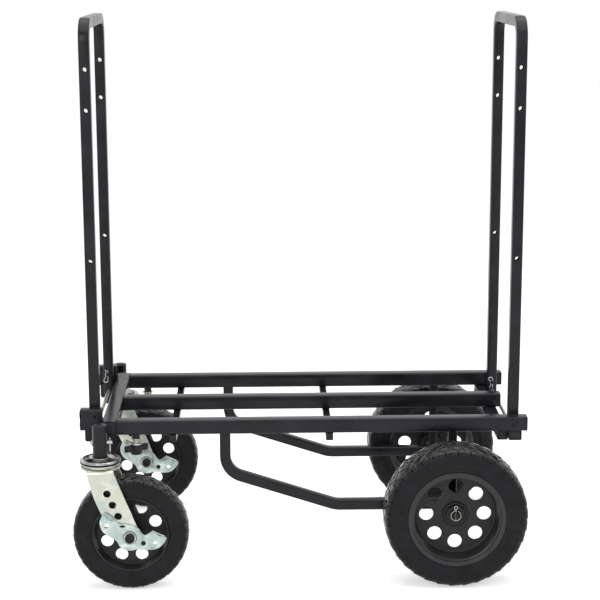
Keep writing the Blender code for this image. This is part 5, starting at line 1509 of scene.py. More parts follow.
@dataclass
class FrontCrossMember:
    """The tube across the front of the inner rails, with the brackets that hold the left handle."""

    body: str = "front_frame"
    bracket_length: float = 36.5 * MM
    bracket_height: float = 38.5 * MM
    bracket_width: float = 19.0 * MM
    bracket_wall: float = 2.0 * MM
    bracket_corner: float = 3.0 * MM
    bracket_above_pivot: float = 10.0 * MM
    cap: float = 2.4 * MM
    tab_width: float = 24.5 * MM
    tab_thickness: float = 3.0 * MM
    tab_inset: float = 4.5 * MM
    tab_drop: float = 24.5 * MM

    @property
    def front_x(self) -> float:
        """Front face of the cross tube."""
        return DECK.cross_tube_x - DECK.rail_side / 2

    @property
    def middle_z(self) -> float:
        """Height of the brackets' middle."""
        return DECK.front_hinge_z + self.bracket_above_pivot - self.bracket_height / 2

    def bracket_y(self, side: Side) -> float:
        """Middle of a bracket across the cart."""
        return side.sign * (DECK.inner_face + self.bracket_width / 2)

    @property
    def path(self) -> Array:
        """The cross tube's line from one side of the cart to the other."""
        return across_cart(DECK.cross_tube_x, DECK.outer_face, DECK.rail_z)

    def cross_tube(self) -> Surface:
        """The tube from one side of the cart to the other."""
        return square_tube(self.path, X_AXIS, DECK.rail_side, DECK.rail_corner, DECK.rail_wall)

    def bracket(self, side: Side) -> Surface:
        """The box section of a bracket."""
        y = self.bracket_y(side)
        path = np.array([[self.front_x - self.bracket_length, y, self.middle_z],
                         [self.front_x + FIT, y, self.middle_z]])
        return box_tube(path, Y_AXIS, self.bracket_width, self.bracket_height, self.bracket_corner,
                        self.bracket_wall, 1.0 * MM)

    def tab(self, side: Side) -> Surface:
        """The flat tab that hangs from a bracket, with round lower corners."""
        left = self.front_x - self.bracket_length + self.tab_inset
        foot = self.middle_z - self.bracket_height / 2
        top = foot + 5.0 * MM
        low = foot - self.tab_drop
        right = left + self.tab_width
        outline = bent_path([(left, low), (right, low), (right, top), (left, top)],
                            np.array([4.0, 4.0, 0.5, 0.5]) * MM, closed=True)
        faces = sorted(side.sign * (DECK.inner_face + depth) for depth in (0.0, self.tab_thickness))
        return prism(outline, Y_AXIS, *faces)

    def beads(self, side: Side) -> list[Surface]:
        """Weld beads where a bracket meets the cross tube."""
        half = self.bracket_width / 2
        middle = point(self.front_x, self.bracket_y(side), DECK.rail_z)
        made = twin_beads(middle, (DECK.rail_side / 2 - 2.0 * MM) * Z_AXIS, half * Y_AXIS, 1.5 * MM)
        start = point(self.front_x + 0.5 * MM, self.bracket_y(side) - 0.8 * half, DECK.top)
        made.append(weld_bead(start, start + 1.6 * half * Y_AXIS, 1.6 * MM))
        return made

    def rail_beads(self) -> list[Surface]:
        """Weld beads where the inner rails meet the cross tube."""
        x = DECK.cross_tube_x + DECK.rail_side / 2 - 0.4 * MM
        run = 0.38 * DECK.rail_side * Y_AXIS
        places = [point(x, y, z) for y in DECK.rail_lines for z in (DECK.top, DECK.underside)]
        return [weld_bead(place - run, place + run, 1.0 * MM) for place in places]

    def plugs(self) -> Surface:
        """Flush plugs in the ends of the cross tube."""
        size = DECK.rail_side - 2 * DECK.rail_wall - PLUG_PLAY
        return end_plugs(self.path, size, 1.4 * MM, 0.3 * MM)

    def lobed_cap(self, side: Side) -> Surface:
        """The cap on a bracket's end, whose front bulges in two lobes.

        Formula: over each half of its height the front stands out by the cap's thickness times
        0.2 + 0.8 sqrt(1 - t^2), with t running from -1 to 1 over that half.
        """
        lobe = self.bracket_height / 4
        t = np.sin(np.linspace(-0.5 * np.pi, 0.5 * np.pi, 15))
        bulge = self.cap * (0.2 + 0.8 * np.sqrt(1.0 - t ** 2))
        face_x = self.front_x - self.bracket_length - DECK.weld_gap
        lower = np.stack([face_x - bulge, self.middle_z - lobe + lobe * t], axis=-1)
        upper = np.stack([face_x - bulge, self.middle_z + lobe + lobe * t], axis=-1)[1:]
        back = np.array([[face_x, self.middle_z + 2 * lobe], [face_x, self.middle_z - 2 * lobe]])
        y = self.bracket_y(side)
        outline = np.concatenate([lower, upper, back])
        return prism(outline, Y_AXIS, y - self.bracket_width / 2, y + self.bracket_width / 2)

    def build(self, shop: Workshop) -> None:
        """Makes the cross member, its plugs and caps, and gives the inner rails their finish."""
        fittings = self.rail_beads()
        for side in Side:
            fittings += [self.bracket(side), self.tab(side)] + self.beads(side)
        shop.finish("front_cross_member", self.cross_tube(), PowderCoat(), self.body, "front_cross_tube",
                    fittings=fittings)
        shop.finish("front_cross_member_plugs", self.plugs(), MouldedPlastic(), self.body, bevel=PLUG_BEVEL)
        for side in Side:
            shop.finish("handle_bracket_cap", self.lobed_cap(side), MouldedPlastic(), self.body,
                        "bracket_cap", side, bevel=0.7 * MM)
        for node in ("inner_rail_near", "inner_rail_centre", "inner_rail_far"):
            dress_node(node, DrawnSteel())


def dress_node(node: str, look: Finish) -> None:
    """Gives a CAD node that stays in view a finish."""
    part = bpy.data.objects[node]
    for held in part.material_slots:
        held.material = look.material()


@dataclass
class CasterMount(Upright):
    """A caster's socket tube with its arm, and the stem, dished race and seal pinned in it."""

    x: float = DECK.caster_x
    reach: float = DECK.wheel_y
    body: str = "front_frame"
    foot_z: float = 233.6 * MM
    length: float = 61.4 * MM
    radius: float = 12.7 * MM
    wall: float = 1.8 * MM
    pin_above_foot: float = 29.5 * MM
    arm_side: float = 19.0 * MM
    arm_below_rail: float = 2.8 * MM
    swivel_foot_z: float = 225.2 * MM
    swivel_radius: float = 36.0 * MM
    swivel_height: float = 10.6 * MM
    collar_radius: float = 13.0 * MM
    collar_top_z: float = 237.2 * MM
    # Top and foot of the black ring of painted shadow under the dish's lip; the top is also the lip's
    # underside.
    seal_top_z: float = 232.4 * MM
    seal_foot_z: float = 229.0 * MM
    kingpin_radius: float = 6.0 * MM
    king_disc_radius: float = 22.0 * MM
    king_disc_top_z: float = 218.9 * MM
    king_disc_foot_z: float = 214.9 * MM

    @property
    def top_z(self) -> float:
        """Top of the socket tube."""
        return self.foot_z + self.length

    @property
    def bore(self) -> float:
        """Radius of what sits in the socket tube."""
        return self.radius - self.wall - PLUG_PLAY

    @property
    def arm_start(self) -> Array:
        """Middle of the arm's end at the cross tube."""
        y = self.side.sign * (DECK.outer_face + DECK.weld_gap)
        return point(self.x, y, DECK.rail_z - self.arm_below_rail)

    def socket(self) -> Surface:
        """The upright tube with softened ends."""
        outer, inner, soft = self.radius, self.radius - self.wall, 0.6 * MM
        loop = [(inner, self.foot_z), (outer - soft, self.foot_z), (outer, self.foot_z + soft),
                (outer, self.top_z - soft), (outer - soft, self.top_z), (inner, self.top_z)]
        return self.round_piece(loop, 56, loop=True)

    def arm(self) -> Surface:
        """The square arm from the cross tube to the socket."""
        start = self.arm_start
        path = np.array([start, [self.x, self.y, start[2]]])
        return bar(path, X_AXIS, rounded_rectangle(self.arm_side, self.arm_side, 2.2 * MM))

    def beads(self) -> list[Surface]:
        """Weld beads where the arm meets the cross tube."""
        half = 0.38 * self.arm_side
        edge = self.arm_side / 2
        made = twin_beads(self.arm_start, half * X_AXIS, edge * Z_AXIS)
        rear = self.arm_start + edge * X_AXIS
        made.append(weld_bead(rear - half * Z_AXIS, rear + half * Z_AXIS))
        return made

    def stem(self) -> Surface:
        """The domed stem, its collar, the dished bright race and the kingpin under it."""
        inner, collar = self.bore, self.collar_radius
        collar_z = self.foot_z - 0.3 * MM
        stem_z = self.top_z - 1.0 * MM
        rim_z = self.swivel_foot_z + self.swivel_height
        floor_z = self.swivel_foot_z + 1.5 * MM
        outer = self.swivel_radius
        corners = [
            (0.0, stem_z), (inner, stem_z), (inner, collar_z), (collar, collar_z), (collar, floor_z),
            (0.70 * outer, floor_z), (0.76 * outer, rim_z - 1.2 * MM), (0.82 * outer, rim_z),
            (0.90 * outer, rim_z - 0.5 * MM), (0.93 * outer, rim_z - 1.6 * MM), (outer, rim_z - 2.0 * MM),
            (outer, self.seal_top_z), (0.79 * outer, self.seal_top_z), (0.745 * outer, self.swivel_foot_z),
            (self.kingpin_radius, self.swivel_foot_z), (self.kingpin_radius, self.king_disc_top_z),
            (self.king_disc_radius, self.king_disc_top_z), (self.king_disc_radius, self.king_disc_foot_z),
            (0.0, self.king_disc_foot_z),
        ]
        turns = [0.8, 0.2, 0.8, 0.6, 0.8, 1.0, 1.0, 0.4, 0.3, 0.5, 0.5, 0.3, 0.6, 0.4, 0.2, 0.8, 0.8]
        return self.round_piece(bent_path(corners, np.array(turns) * MM, steps=4), 72)

    def dome(self) -> Surface:
        """The dark domed end of the stem in the socket's mouth."""
        inner, top, low = self.bore, self.top_z, self.top_z - 0.9 * MM
        corners = [(0.0, top + 2.2 * MM), (0.55 * inner, top + 1.8 * MM), (inner, top - 0.2 * MM),
                   (inner, low), (0.0, low)]
        return self.round_piece(bent_path(corners, np.array([4.0, 0.3, 0.1]) * MM, steps=5), 56)

    def collar(self) -> Surface:
        """The pale collar round the socket's foot."""
        inner, low, soft = self.radius + FIT, self.swivel_foot_z + 1.7 * MM, 0.4 * MM
        outer = inner + 0.9 * MM
        loop = [(inner, low), (outer, low), (outer, self.collar_top_z - soft),
                (outer - soft, self.collar_top_z), (inner, self.collar_top_z)]
        return self.round_piece(loop, 56, loop=True)

    def outer_seal(self) -> Surface:
        """A black ring in the gap between the dish's lip and the lower cup: painted shadow under the lip,
        not a real seal.
        """
        inner, outer = 0.81 * self.swivel_radius, self.swivel_radius - 0.1 * MM
        foot, top = self.seal_foot_z, self.seal_top_z - 0.1 * MM
        corners = [(inner, foot), (outer, foot), (outer, top), (inner, top)]
        return self.round_piece(bent_path(corners, 0.6 * MM, steps=3, closed=True), 72, loop=True)

    def seal(self) -> Surface:
        """The dark ring in the dish round the collar."""
        inner, outer = self.collar_radius + 1.2 * MM, 23.6 * MM
        foot = self.swivel_foot_z + 1.7 * MM
        corners = [(inner, foot), (outer, foot), (outer, foot + 3.0 * MM), (inner, foot + 1.2 * MM)]
        return self.round_piece(bent_path(corners, 0.5 * MM, steps=3, closed=True), 56, loop=True)

    def build(self, shop: Workshop) -> None:
        """Makes the socket, arm, stem, seal and the pin through them."""
        side = self.side
        pin_z = self.foot_z + self.pin_above_foot
        pin_hole = hole(point(self.x, self.y, pin_z), X_AXIS, 2 * self.radius, DECK.pin_hole)
        shop.finish("caster_mount_tube", self.socket(), PowderCoat(), self.body, "caster_socket", side,
                    cutters=[pin_hole])
        inside = hole(point(self.x, self.y, self.foot_z + self.length / 2), Z_AXIS, self.length,
                      self.radius - 0.5 * MM, sides=56)
        shop.finish("caster_mount_arm", self.arm(), PowderCoat(), self.body, side=side, cutters=[inside],
                    fittings=self.beads())
        shop.finish("caster_mount_stem", self.stem(), PressedSteel(), self.body, "caster_stem", side)
        shop.finish("caster_mount_dome", self.dome(), PowderCoat(), self.body, side=side)
        shop.finish("caster_mount_seal", self.seal(), DarkSteel(), self.body, side=side)
        # A black ring of painted shadow in the gap under the dish's lip.
        shop.finish("caster_mount_outer_seal", self.outer_seal(), TyreRubber(), self.body, side=side)
        shop.finish("caster_mount_collar", self.collar(), ZincPlate(), self.body, side=side)
        head = point(self.x - self.radius - 0.3 * MM, self.y, pin_z)
        clip_reach = 2 * self.radius + 5.3 * MM
        nodes = ("socket_pin_" + side.label, "socket_clip_" + side.label)
        HeadedPin(head, X_AXIS, clip_reach + 4.0 * MM, clip_reach).build(
            shop, "caster_mount_" + side.label, nodes, self.body, Y_AXIS)


@dataclass
class Caster(Upright):
    """A swivel fork with its axle bolt, lower race and brake plate."""

    x: float = DECK.caster_x
    reach: float = DECK.wheel_y
    plate: float = 4.0 * MM
    inner_face: float = 29.5 * MM
    gap: float = 0.3 * MM
    bend: float = 8.0 * MM
    crown_z: float = 223.2 * MM
    crown_radius: float = 35.0 * MM
    top_half: float = 23.0 * MM
    eye: float = 20.0 * MM
    edge_round: float = 0.9 * MM
    brake_plate: float = 3.0 * MM
    flange_height: float = 1.5 * MM
    head_height: float = 5.5 * MM
    bolt_head: float = 8.5 * MM
    bolt_flange: float = 11.0 * MM
    holes: tuple[tuple[float, float], ...] = (
        (38.0 * MM, 6.4 * MM), (58.4 * MM, 6.4 * MM), (78.8 * MM, 6.4 * MM), (21.4 * MM, 3.0 * MM))
    brake_outline: tuple[tuple[float, float], ...] = (
        (-50.6, 34.0), (-51.5, 24.0), (-46.7, 11.6), (-36.9, 3.9), (-23.1, -6.1), (-17.6, -16.0),
        (-9.0, -21.5), (2.0, -23.5), (12.5, -21.3), (23.4, -22.4), (42.8, -21.7), (55.1, -14.6),
        (63.4, -0.4), (51.0, 3.2), (42.8, 9.8), (37.3, 11.0), (29.1, 5.3), (24.0, 5.3), (18.8, 11.0),
        (15.4, 16.9), (4.3, 22.6), (-6.7, 24.7), (-17.6, 26.2), (-29.6, 38.3), (-42.4, 45.4))
    brake_holes: tuple[tuple[float, float, float], ...] = ((-40.0, 21.9, 3.6), (23.1, -10.3, 4.3),
                                                           (43.4, -10.3, 3.6))
    brake_lip_lines: tuple[tuple[tuple[tuple[float, float], ...], float], ...] = (
        (((-45.0, 42.0), (-35.0, 33.5), (-20.5, 28.5)), 12.0),
        (((38.6, 12.0), (47.0, 7.6), (60.0, 1.6)), 20.0))
    lip_lean: float = 38.0
    lip_width: float = 6.0 * MM
    lip_thickness: float = 1.5 * MM
    # Place and half sizes of a dark oval on the pedal: painted shadow where a slot would show shade under
    # the plate.
    stop_place: tuple[float, float] = (-12.5 * MM, 21.0 * MM)
    stop_half: tuple[float, float] = (5.0 * MM, 2.2 * MM)

    @property
    def axle(self) -> Array:
        """Middle of the wheel."""
        return point(self.x + DECK.caster_trail, self.y, DECK.caster_axle_z)

    @property
    def plate_middle(self) -> float:
        """Distance of the fork's legs from the wheel's middle, to the middle of their thickness."""
        return self.inner_face + self.plate / 2

    @property
    def pedal_face(self) -> float:
        """Distance of the pedal's inner face from the wheel's middle."""
        return self.inner_face + self.plate + self.gap

    @property
    def pedal_y(self) -> float:
        """Place of the pedal's inner face across the cart."""
        return self.y - self.pedal_face

    def fork_path(self) -> Array:
        """Centreline of the bent plate in the YZ plane, from one eye over the crown to the other."""
        half = self.plate_middle
        crown = self.crown_z - self.plate / 2
        angles = np.radians([87.0, 80.0, 72.0, 62.0, 50.0, 38.0, 26.0, 17.6])
        low = DECK.caster_axle_z - self.eye * np.sin(angles)
        leg = np.linspace(DECK.caster_axle_z - 0.25 * self.eye, crown - self.bend - 2.0 * MM, 24)
        heights = np.concatenate([low, leg])
        corners = [(0.0, -half, heights[-1]), (0.0, -half, crown), (0.0, half, crown),
                   (0.0, half, heights[-1])]
        bends = bent_path(corners, self.bend, steps=8)[1:-1]
        middle = self.crown_radius * np.sin(np.radians(np.linspace(-36.0, 36.0, 13)))
        top = np.stack([np.zeros(13), middle, np.full(13, crown)], axis=-1)
        near = np.stack([np.zeros(len(heights)), np.full(len(heights), -half), heights], axis=-1)
        far = near[::-1] * point(1.0, -1.0, 1.0)
        return np.concatenate([near, bends[:9], top, bends[9:], far])

    def fork_edges(self, path: Array) -> tuple[Array, Array]:
        """Front and rear edges of the plate beside each point of its path.

        Formula: on the crown a circle of the crown's radius, never narrower than the leg's top; on the leg a
        rear edge that runs straight and a front edge that bows by (s + s^3) / 2 of its run, with s the share
        of the way down; round the axle a circle of the eye's radius.
        """
        height = path[:, 2]
        crown_half = np.sqrt(np.maximum(self.crown_radius ** 2 - path[:, 1] ** 2, 0.0))
        crown_half = np.maximum(self.top_half, crown_half)
        below = DECK.caster_axle_z - height
        eye_half = np.sqrt(np.maximum(self.eye ** 2 - below ** 2, 0.0))
        share = np.clip((self.crown_z - height) / (self.crown_z - DECK.caster_axle_z), 0.0, 1.0)
        front = -self.top_half + (DECK.caster_trail - self.eye + self.top_half) * (share + share ** 3) / 2
        rear = self.top_half + (DECK.caster_trail + self.eye - self.top_half) * share
        in_eye = below > 0.3 * self.eye
        on_crown = height > self.crown_z - self.plate
        front = np.where(in_eye, DECK.caster_trail - eye_half, np.where(on_crown, -crown_half, front))
        rear = np.where(in_eye, DECK.caster_trail + eye_half, np.where(on_crown, crown_half, rear))
        return front, rear

    def fork(self) -> Surface:
        """The bent plate with rounded edges.

        Formula: at each point of the path, a rounded rectangle from the front edge to the rear edge and
        through the plate's thickness.
        """
        path = self.fork_path()
        front, rear = self.fork_edges(path)
        corner = self.edge_round
        loop = rounded_rectangle(2 * corner, 2 * corner, corner, steps=3)
        rearward = np.repeat([True, False, False, True], 4)[None, :]
        upward = np.repeat([1.0, 1.0, -1.0, -1.0], 4)[None, :]
        u = np.where(rearward, (rear - corner)[:, None], (front + corner)[:, None]) + loop[None, :, 0]
        v = np.broadcast_to(upward * (self.plate / 2 - corner) + loop[None, :, 1], u.shape)
        grid = carried(path, X_AXIS, np.stack([u, v], axis=-1))
        return Surface.from_grid(grid + point(self.x, self.y, 0.0))

    def fork_cutters(self) -> list[Surface]:
        """Cutters for the holes along both legs, the axle and the kingpin."""
        half = self.plate_middle
        lean = math.tan(math.radians(24.0))
        made = [hole(point(self.x, self.y, self.crown_z), Z_AXIS, 8.0 * MM, 6.4 * MM)]
        for height, radius in self.holes:
            x = self.axle[0] - 3.0 * MM - height * lean
            for sign in SIGNS:
                place = point(x, self.y + sign * half, DECK.caster_axle_z + height)
                made.append(flared_hole(place, Y_AXIS, self.plate / 2, radius, 0.5 * MM))
        for sign in SIGNS:
            made.append(hole(self.axle + sign * half * Y_AXIS, Y_AXIS, self.plate, DECK.caster_bolt + FIT))
        return made

    def lower_cup(self) -> Surface:
        """The pressed cup of the lower race, a stepped ring on the crown round the dish's foot."""
        inner, foot = 28.6 * MM, self.crown_z + 0.15 * MM
        corners = [(inner, foot), (31.6 * MM, foot), (32.4 * MM, foot + 2.6 * MM),
                   (34.0 * MM, foot + 3.2 * MM), (34.4 * MM, foot + 5.4 * MM), (inner, foot + 5.4 * MM)]
        return self.round_piece(bent_path(corners, 0.6 * MM, steps=3, closed=True), 72, loop=True)

    def bolt(self) -> Surface:
        """The axle bolt with its flange, and the flanged nut with the bolt's end standing out of it."""
        far = self.pedal_face
        near = far + self.brake_plate + self.gap
        flange, head = self.flange_height, self.head_height
        soft = 0.4 * MM
        rim, nut, shaft = self.bolt_flange, self.bolt_head, DECK.caster_bolt
        far_seat, far_end, bolt_end = far + flange, far + flange + head, near + flange + head
        profile = [
            (0.0, -near - flange), (rim - soft, -near - flange), (rim, soft - near - flange), (rim, -near),
            (shaft, -near), (shaft, far), (rim, far), (rim, far_seat - soft), (rim - soft, far_seat),
            (nut, far_seat), (nut, far_end - soft), (nut - soft, far_end), (shaft, far_end),
            (shaft, bolt_end - soft), (shaft - soft, bolt_end), (0.0, bolt_end),
        ]
        return turned(profile, self.axle, Y_AXIS, 48)

    def bolt_cap(self) -> Surface:
        """The dark rounded head of the bolt, with a shallow recess."""
        seat = self.pedal_face + self.brake_plate + self.gap + self.flange_height
        inner, top = self.bolt_head, seat + self.head_height
        recess = top - 1.6 * MM
        corners = [(0.0, seat), (inner, seat), (inner, top), (0.62 * inner, top), (0.55 * inner, recess),
                   (0.0, recess)]
        turns = np.array([0.2, 1.2, 0.4, 0.4]) * MM
        return turned(bent_path(corners, turns, steps=4), self.axle, -Y_AXIS, 48)

    def bolt_seat(self) -> Surface:
        """A thin dark ring between the bolt's flange and the pedal, not a real washer: painted shadow round
        the flange.
        """
        bore, rim = DECK.caster_bolt + FIT, self.bolt_flange + 1.1 * MM
        face = self.pedal_face + self.brake_plate + 0.03 * MM
        back = face + 0.22 * MM
        loop = [(bore, face), (rim, face), (rim, back), (bore, back)]
        return turned(loop, self.axle, -Y_AXIS, 48, loop=True)

    def brake(self) -> Surface:
        """The stamped pedal plate, its outline a smooth curve through the measured corners."""
        outline = smooth_loop(np.array(self.brake_outline) * MM, 6) + self.axle[[0, 2]]
        return prism(outline, Y_AXIS, self.pedal_y - self.brake_plate, self.pedal_y)

    def brake_lips(self) -> list[Surface]:
        """The two lips bent out of the plate's upper edges.

        Formula: a flat strip, leaning out of the plate, carried along a curve in the plate's plane.
        """
        face = self.pedal_y - self.brake_plate
        lean = math.radians(self.lip_lean)
        turn = np.array([[math.cos(lean), math.sin(lean)], [-math.sin(lean), math.cos(lean)]])
        strip = rounded_rectangle(self.lip_width, self.lip_thickness, 0.5 * MM, steps=2) @ turn
        made = []
        for corners, bend in self.brake_lip_lines:
            flat = bent_path(np.array(corners) * MM, bend * MM, steps=8) + self.axle[[0, 2]]
            path = np.stack([flat[:, 0], np.full(len(flat), face), flat[:, 1]], axis=-1)
            made.append(bar(path, Y_AXIS, strip))
        return made

    def brake_stop(self) -> Surface:
        """A dark oval near the plate's upper edge: painted shadow, standing for a slot with shade under the
        plate.
        """
        face = self.pedal_y - self.brake_plate
        oval = circle(1.0, 28) * self.stop_half + self.axle[[0, 2]] + np.array(self.stop_place)
        return prism(oval, Y_AXIS, face - 0.4 * MM, face + 1.0 * MM)

    def brake_cutters(self) -> list[Surface]:
        """Cutters for the plate's small holes and the bolt."""
        middle = self.pedal_y - self.brake_plate / 2
        bolt = point(self.axle[0], middle, DECK.caster_axle_z)
        made = [hole(bolt, Y_AXIS, self.brake_plate, DECK.caster_bolt + 0.4 * MM)]
        for along, up, radius in self.brake_holes:
            place = point(self.axle[0] + along * MM, middle, DECK.caster_axle_z + up * MM)
            made.append(hole(place, Y_AXIS, self.brake_plate, radius * MM))
        return made

    def build(self, shop: Workshop) -> None:
        """Makes the fork, race, bolt, plate and wheel."""
        side = self.side
        body = "caster_" + side.label
        shop.finish("caster_fork_plate", self.fork(), ZincPlate(), body, "caster_fork", side,
                    cutters=self.fork_cutters())
        shop.finish("caster_lower_cup", self.lower_cup(), ZincPlate(), body, side=side)
        shop.finish("caster_bolt_and_nut", self.bolt(), ZincPlate(), body, "caster_axle_bolt", side)
        # The bolt's dark head, joined with the thin dark ring of painted shadow round its flange.
        dark = Surface.joined([self.bolt_cap(), self.bolt_seat()])
        shop.finish("caster_bolt_cap", dark, DarkSteel(), body, side=side)
        pedal = "caster_brake_" + side.label
        shop.finish("caster_brake_pedal", self.brake(), ZincPlate(tint=ZincTint.SEA_GREEN), pedal,
                    "brake_plate", side, cutters=self.brake_cutters(), bevel=0.45 * MM,
                    fittings=self.brake_lips())
        # A dark oval on the pedal's face as painted shadow, riding with the pedal.
        shop.finish("caster_brake_stop", self.brake_stop(), DarkSteel(), pedal, side=side, bevel=0.3 * MM)
        caster_wheel(side).build(shop)


@dataclass
class LockKnob(Upright):
    """A winged black knob under a bright ferrule, on the stud that clamps an inner rail."""

    x: float = DECK.lock_x
    reach: float = DECK.rail_spacing
    boss_foot_z: float = 254.5 * MM
    radius: float = 10.6 * MM
    height: float = 18.5 * MM
    wing_reach: float = 23.0 * MM
    wing_radius: float = 4.5 * MM
    wing_height: float = 11.0 * MM
    wing_lift: float = 5.4 * MM
    wing_angle: float = 30.0
    ferrule_radius: float = 11.2 * MM
    ferrule_height: float = 11.0 * MM
    screw_radius: float = 4.0 * MM

    @property
    def ferrule_top(self) -> float:
        """Height of the ferrule's top."""
        return self.boss_foot_z - 0.4 * MM

    @property
    def body_top(self) -> float:
        """Height of the moulded body's top."""
        return self.ferrule_top - self.ferrule_height

    def core(self) -> Surface:
        """The round moulded body."""
        top, foot = self.body_top - 0.3 * MM, self.body_top - self.height
        corners = [(0.0, top), (self.radius, top), (self.radius, foot), (0.0, foot)]
        return self.round_piece(bent_path(corners, (1.0 * MM, 2.2 * MM), steps=5), 48)

    def wings(self) -> Surface:
        """The two opposite wings.

        Formula: two half circles, one at each wing tip, joined by straight sides through the knob's middle.
        """
        tip = self.wing_reach - self.wing_radius
        sweep = np.radians(np.linspace(-90.0, 90.0, 13))
        front = np.stack([tip + self.wing_radius * np.cos(sweep), self.wing_radius * np.sin(sweep)], axis=-1)
        plan = np.concatenate([front, -front])
        angle = math.radians(self.wing_angle)
        spin = np.array([[math.cos(angle), math.sin(angle)], [-math.sin(angle), math.cos(angle)]])
        foot = self.body_top - self.height + self.wing_lift
        return prism(plan @ spin + np.array([self.x, self.y]), Z_AXIS, foot, foot + self.wing_height)

    def ferrule(self) -> Surface:
        """The bright ferrule with its waist, and the screw above it."""
        top, foot = self.ferrule_top, self.body_top
        wide, waist = self.ferrule_radius, 0.62 * self.ferrule_radius
        stud_top = DECK.underside + 1.7 * MM
        corners = [(0.0, stud_top), (self.screw_radius, stud_top), (self.screw_radius, top),
                   (0.86 * wide, top), (0.86 * wide, top - 2.4 * MM), (waist, top - 4.0 * MM),
                   (waist, foot + 4.2 * MM), (wide, foot + 2.6 * MM), (wide, foot), (0.0, foot)]
        turns = np.array([0.4, 0.2, 0.6, 0.6, 0.8, 0.8, 0.6, 0.4]) * MM
        return self.round_piece(bent_path(corners, turns, steps=3), 48)

    def build(self, shop: Workshop) -> None:
        """Makes the body, the wings and the ferrule."""
        body = "lock_knob_" + self.side.label
        shop.finish("lock_knob_grip", self.wings(), MouldedPlastic(), body, "lock_knob", self.side,
                    bevel=1.6 * MM, fittings=[self.core()])
        shop.finish("lock_knob_ferrule", self.ferrule(), ZincPlate(tint=ZincTint.PLAIN), body,
                    side=self.side)


def build_hinge_pins(shop: Workshop) -> None:
    """The four hinge pins of the handles, each with its spring clip inside the handle's leg."""
    leg_inner = 126.3 * MM
    clip_from_face = 5.0 * MM
    front_clip = {"clip_up": 1, "loop_radius": 4.0 * MM, "neck": 3.0 * MM, "tail": 4.2 * MM}
    rear_clip = {"clip_up": -1, "loop_radius": 3.8 * MM, "neck": -2.4 * MM, "tail": 6.0 * MM}
    hinges = [("front", DECK.front_hinge_x, DECK.front_hinge_z, DECK.inner_face + 19.0 * MM, front_clip),
              ("rear", DECK.rear_hinge_x, DECK.rail_z, DECK.outer_face, rear_clip)]
    for end, x, z, face, clip in hinges:
        for side in Side:
            head = point(x, side.sign * (face + DECK.weld_gap), z)
            reach = face + DECK.weld_gap - leg_inner + clip_from_face
            pin = HeadedPin(head, -side.sign * Y_AXIS, reach + 4.0 * MM, reach, look=DarkSteel(), **clip)
            nodes = (f"{end}_hinge_pin_{side.label}", f"{end}_hinge_clip_{side.label}")
            pin.build(shop, f"{end}_hinge_{side.label}", nodes, end + "_frame", X_AXIS)


@dataclass(frozen=True)
class PhotoCamera:
    """The camera at the photograph's place and angle."""

    place: Triple = (-0.0691, -2.94188, 1.08996)
    pitch: float = 11.94
    yaw: float = 1.397
    roll: float = 0.203
    lens: float = 97.75
    sensor: float = 36.0

    def build(self) -> None:
        """Makes the camera and gives it to the scene."""
        pitch, yaw, roll = (math.radians(angle) for angle in (self.pitch, self.yaw, self.roll))
        data = bpy.data.cameras.new("photo_camera")
        data.lens = self.lens
        data.sensor_width = self.sensor
        data.clip_end = 100.0
        camera = bpy.data.objects.new("photo_camera", data)
        turn = Matrix.Rotation(-yaw, 4, "Z") @ Matrix.Rotation(math.pi / 2 - pitch, 4, "X")
        camera.matrix_world = Matrix.Translation(self.place) @ turn @ Matrix.Rotation(-roll, 4, "Z")
        bpy.context.scene.collection.objects.link(camera)
        bpy.context.scene.camera = camera


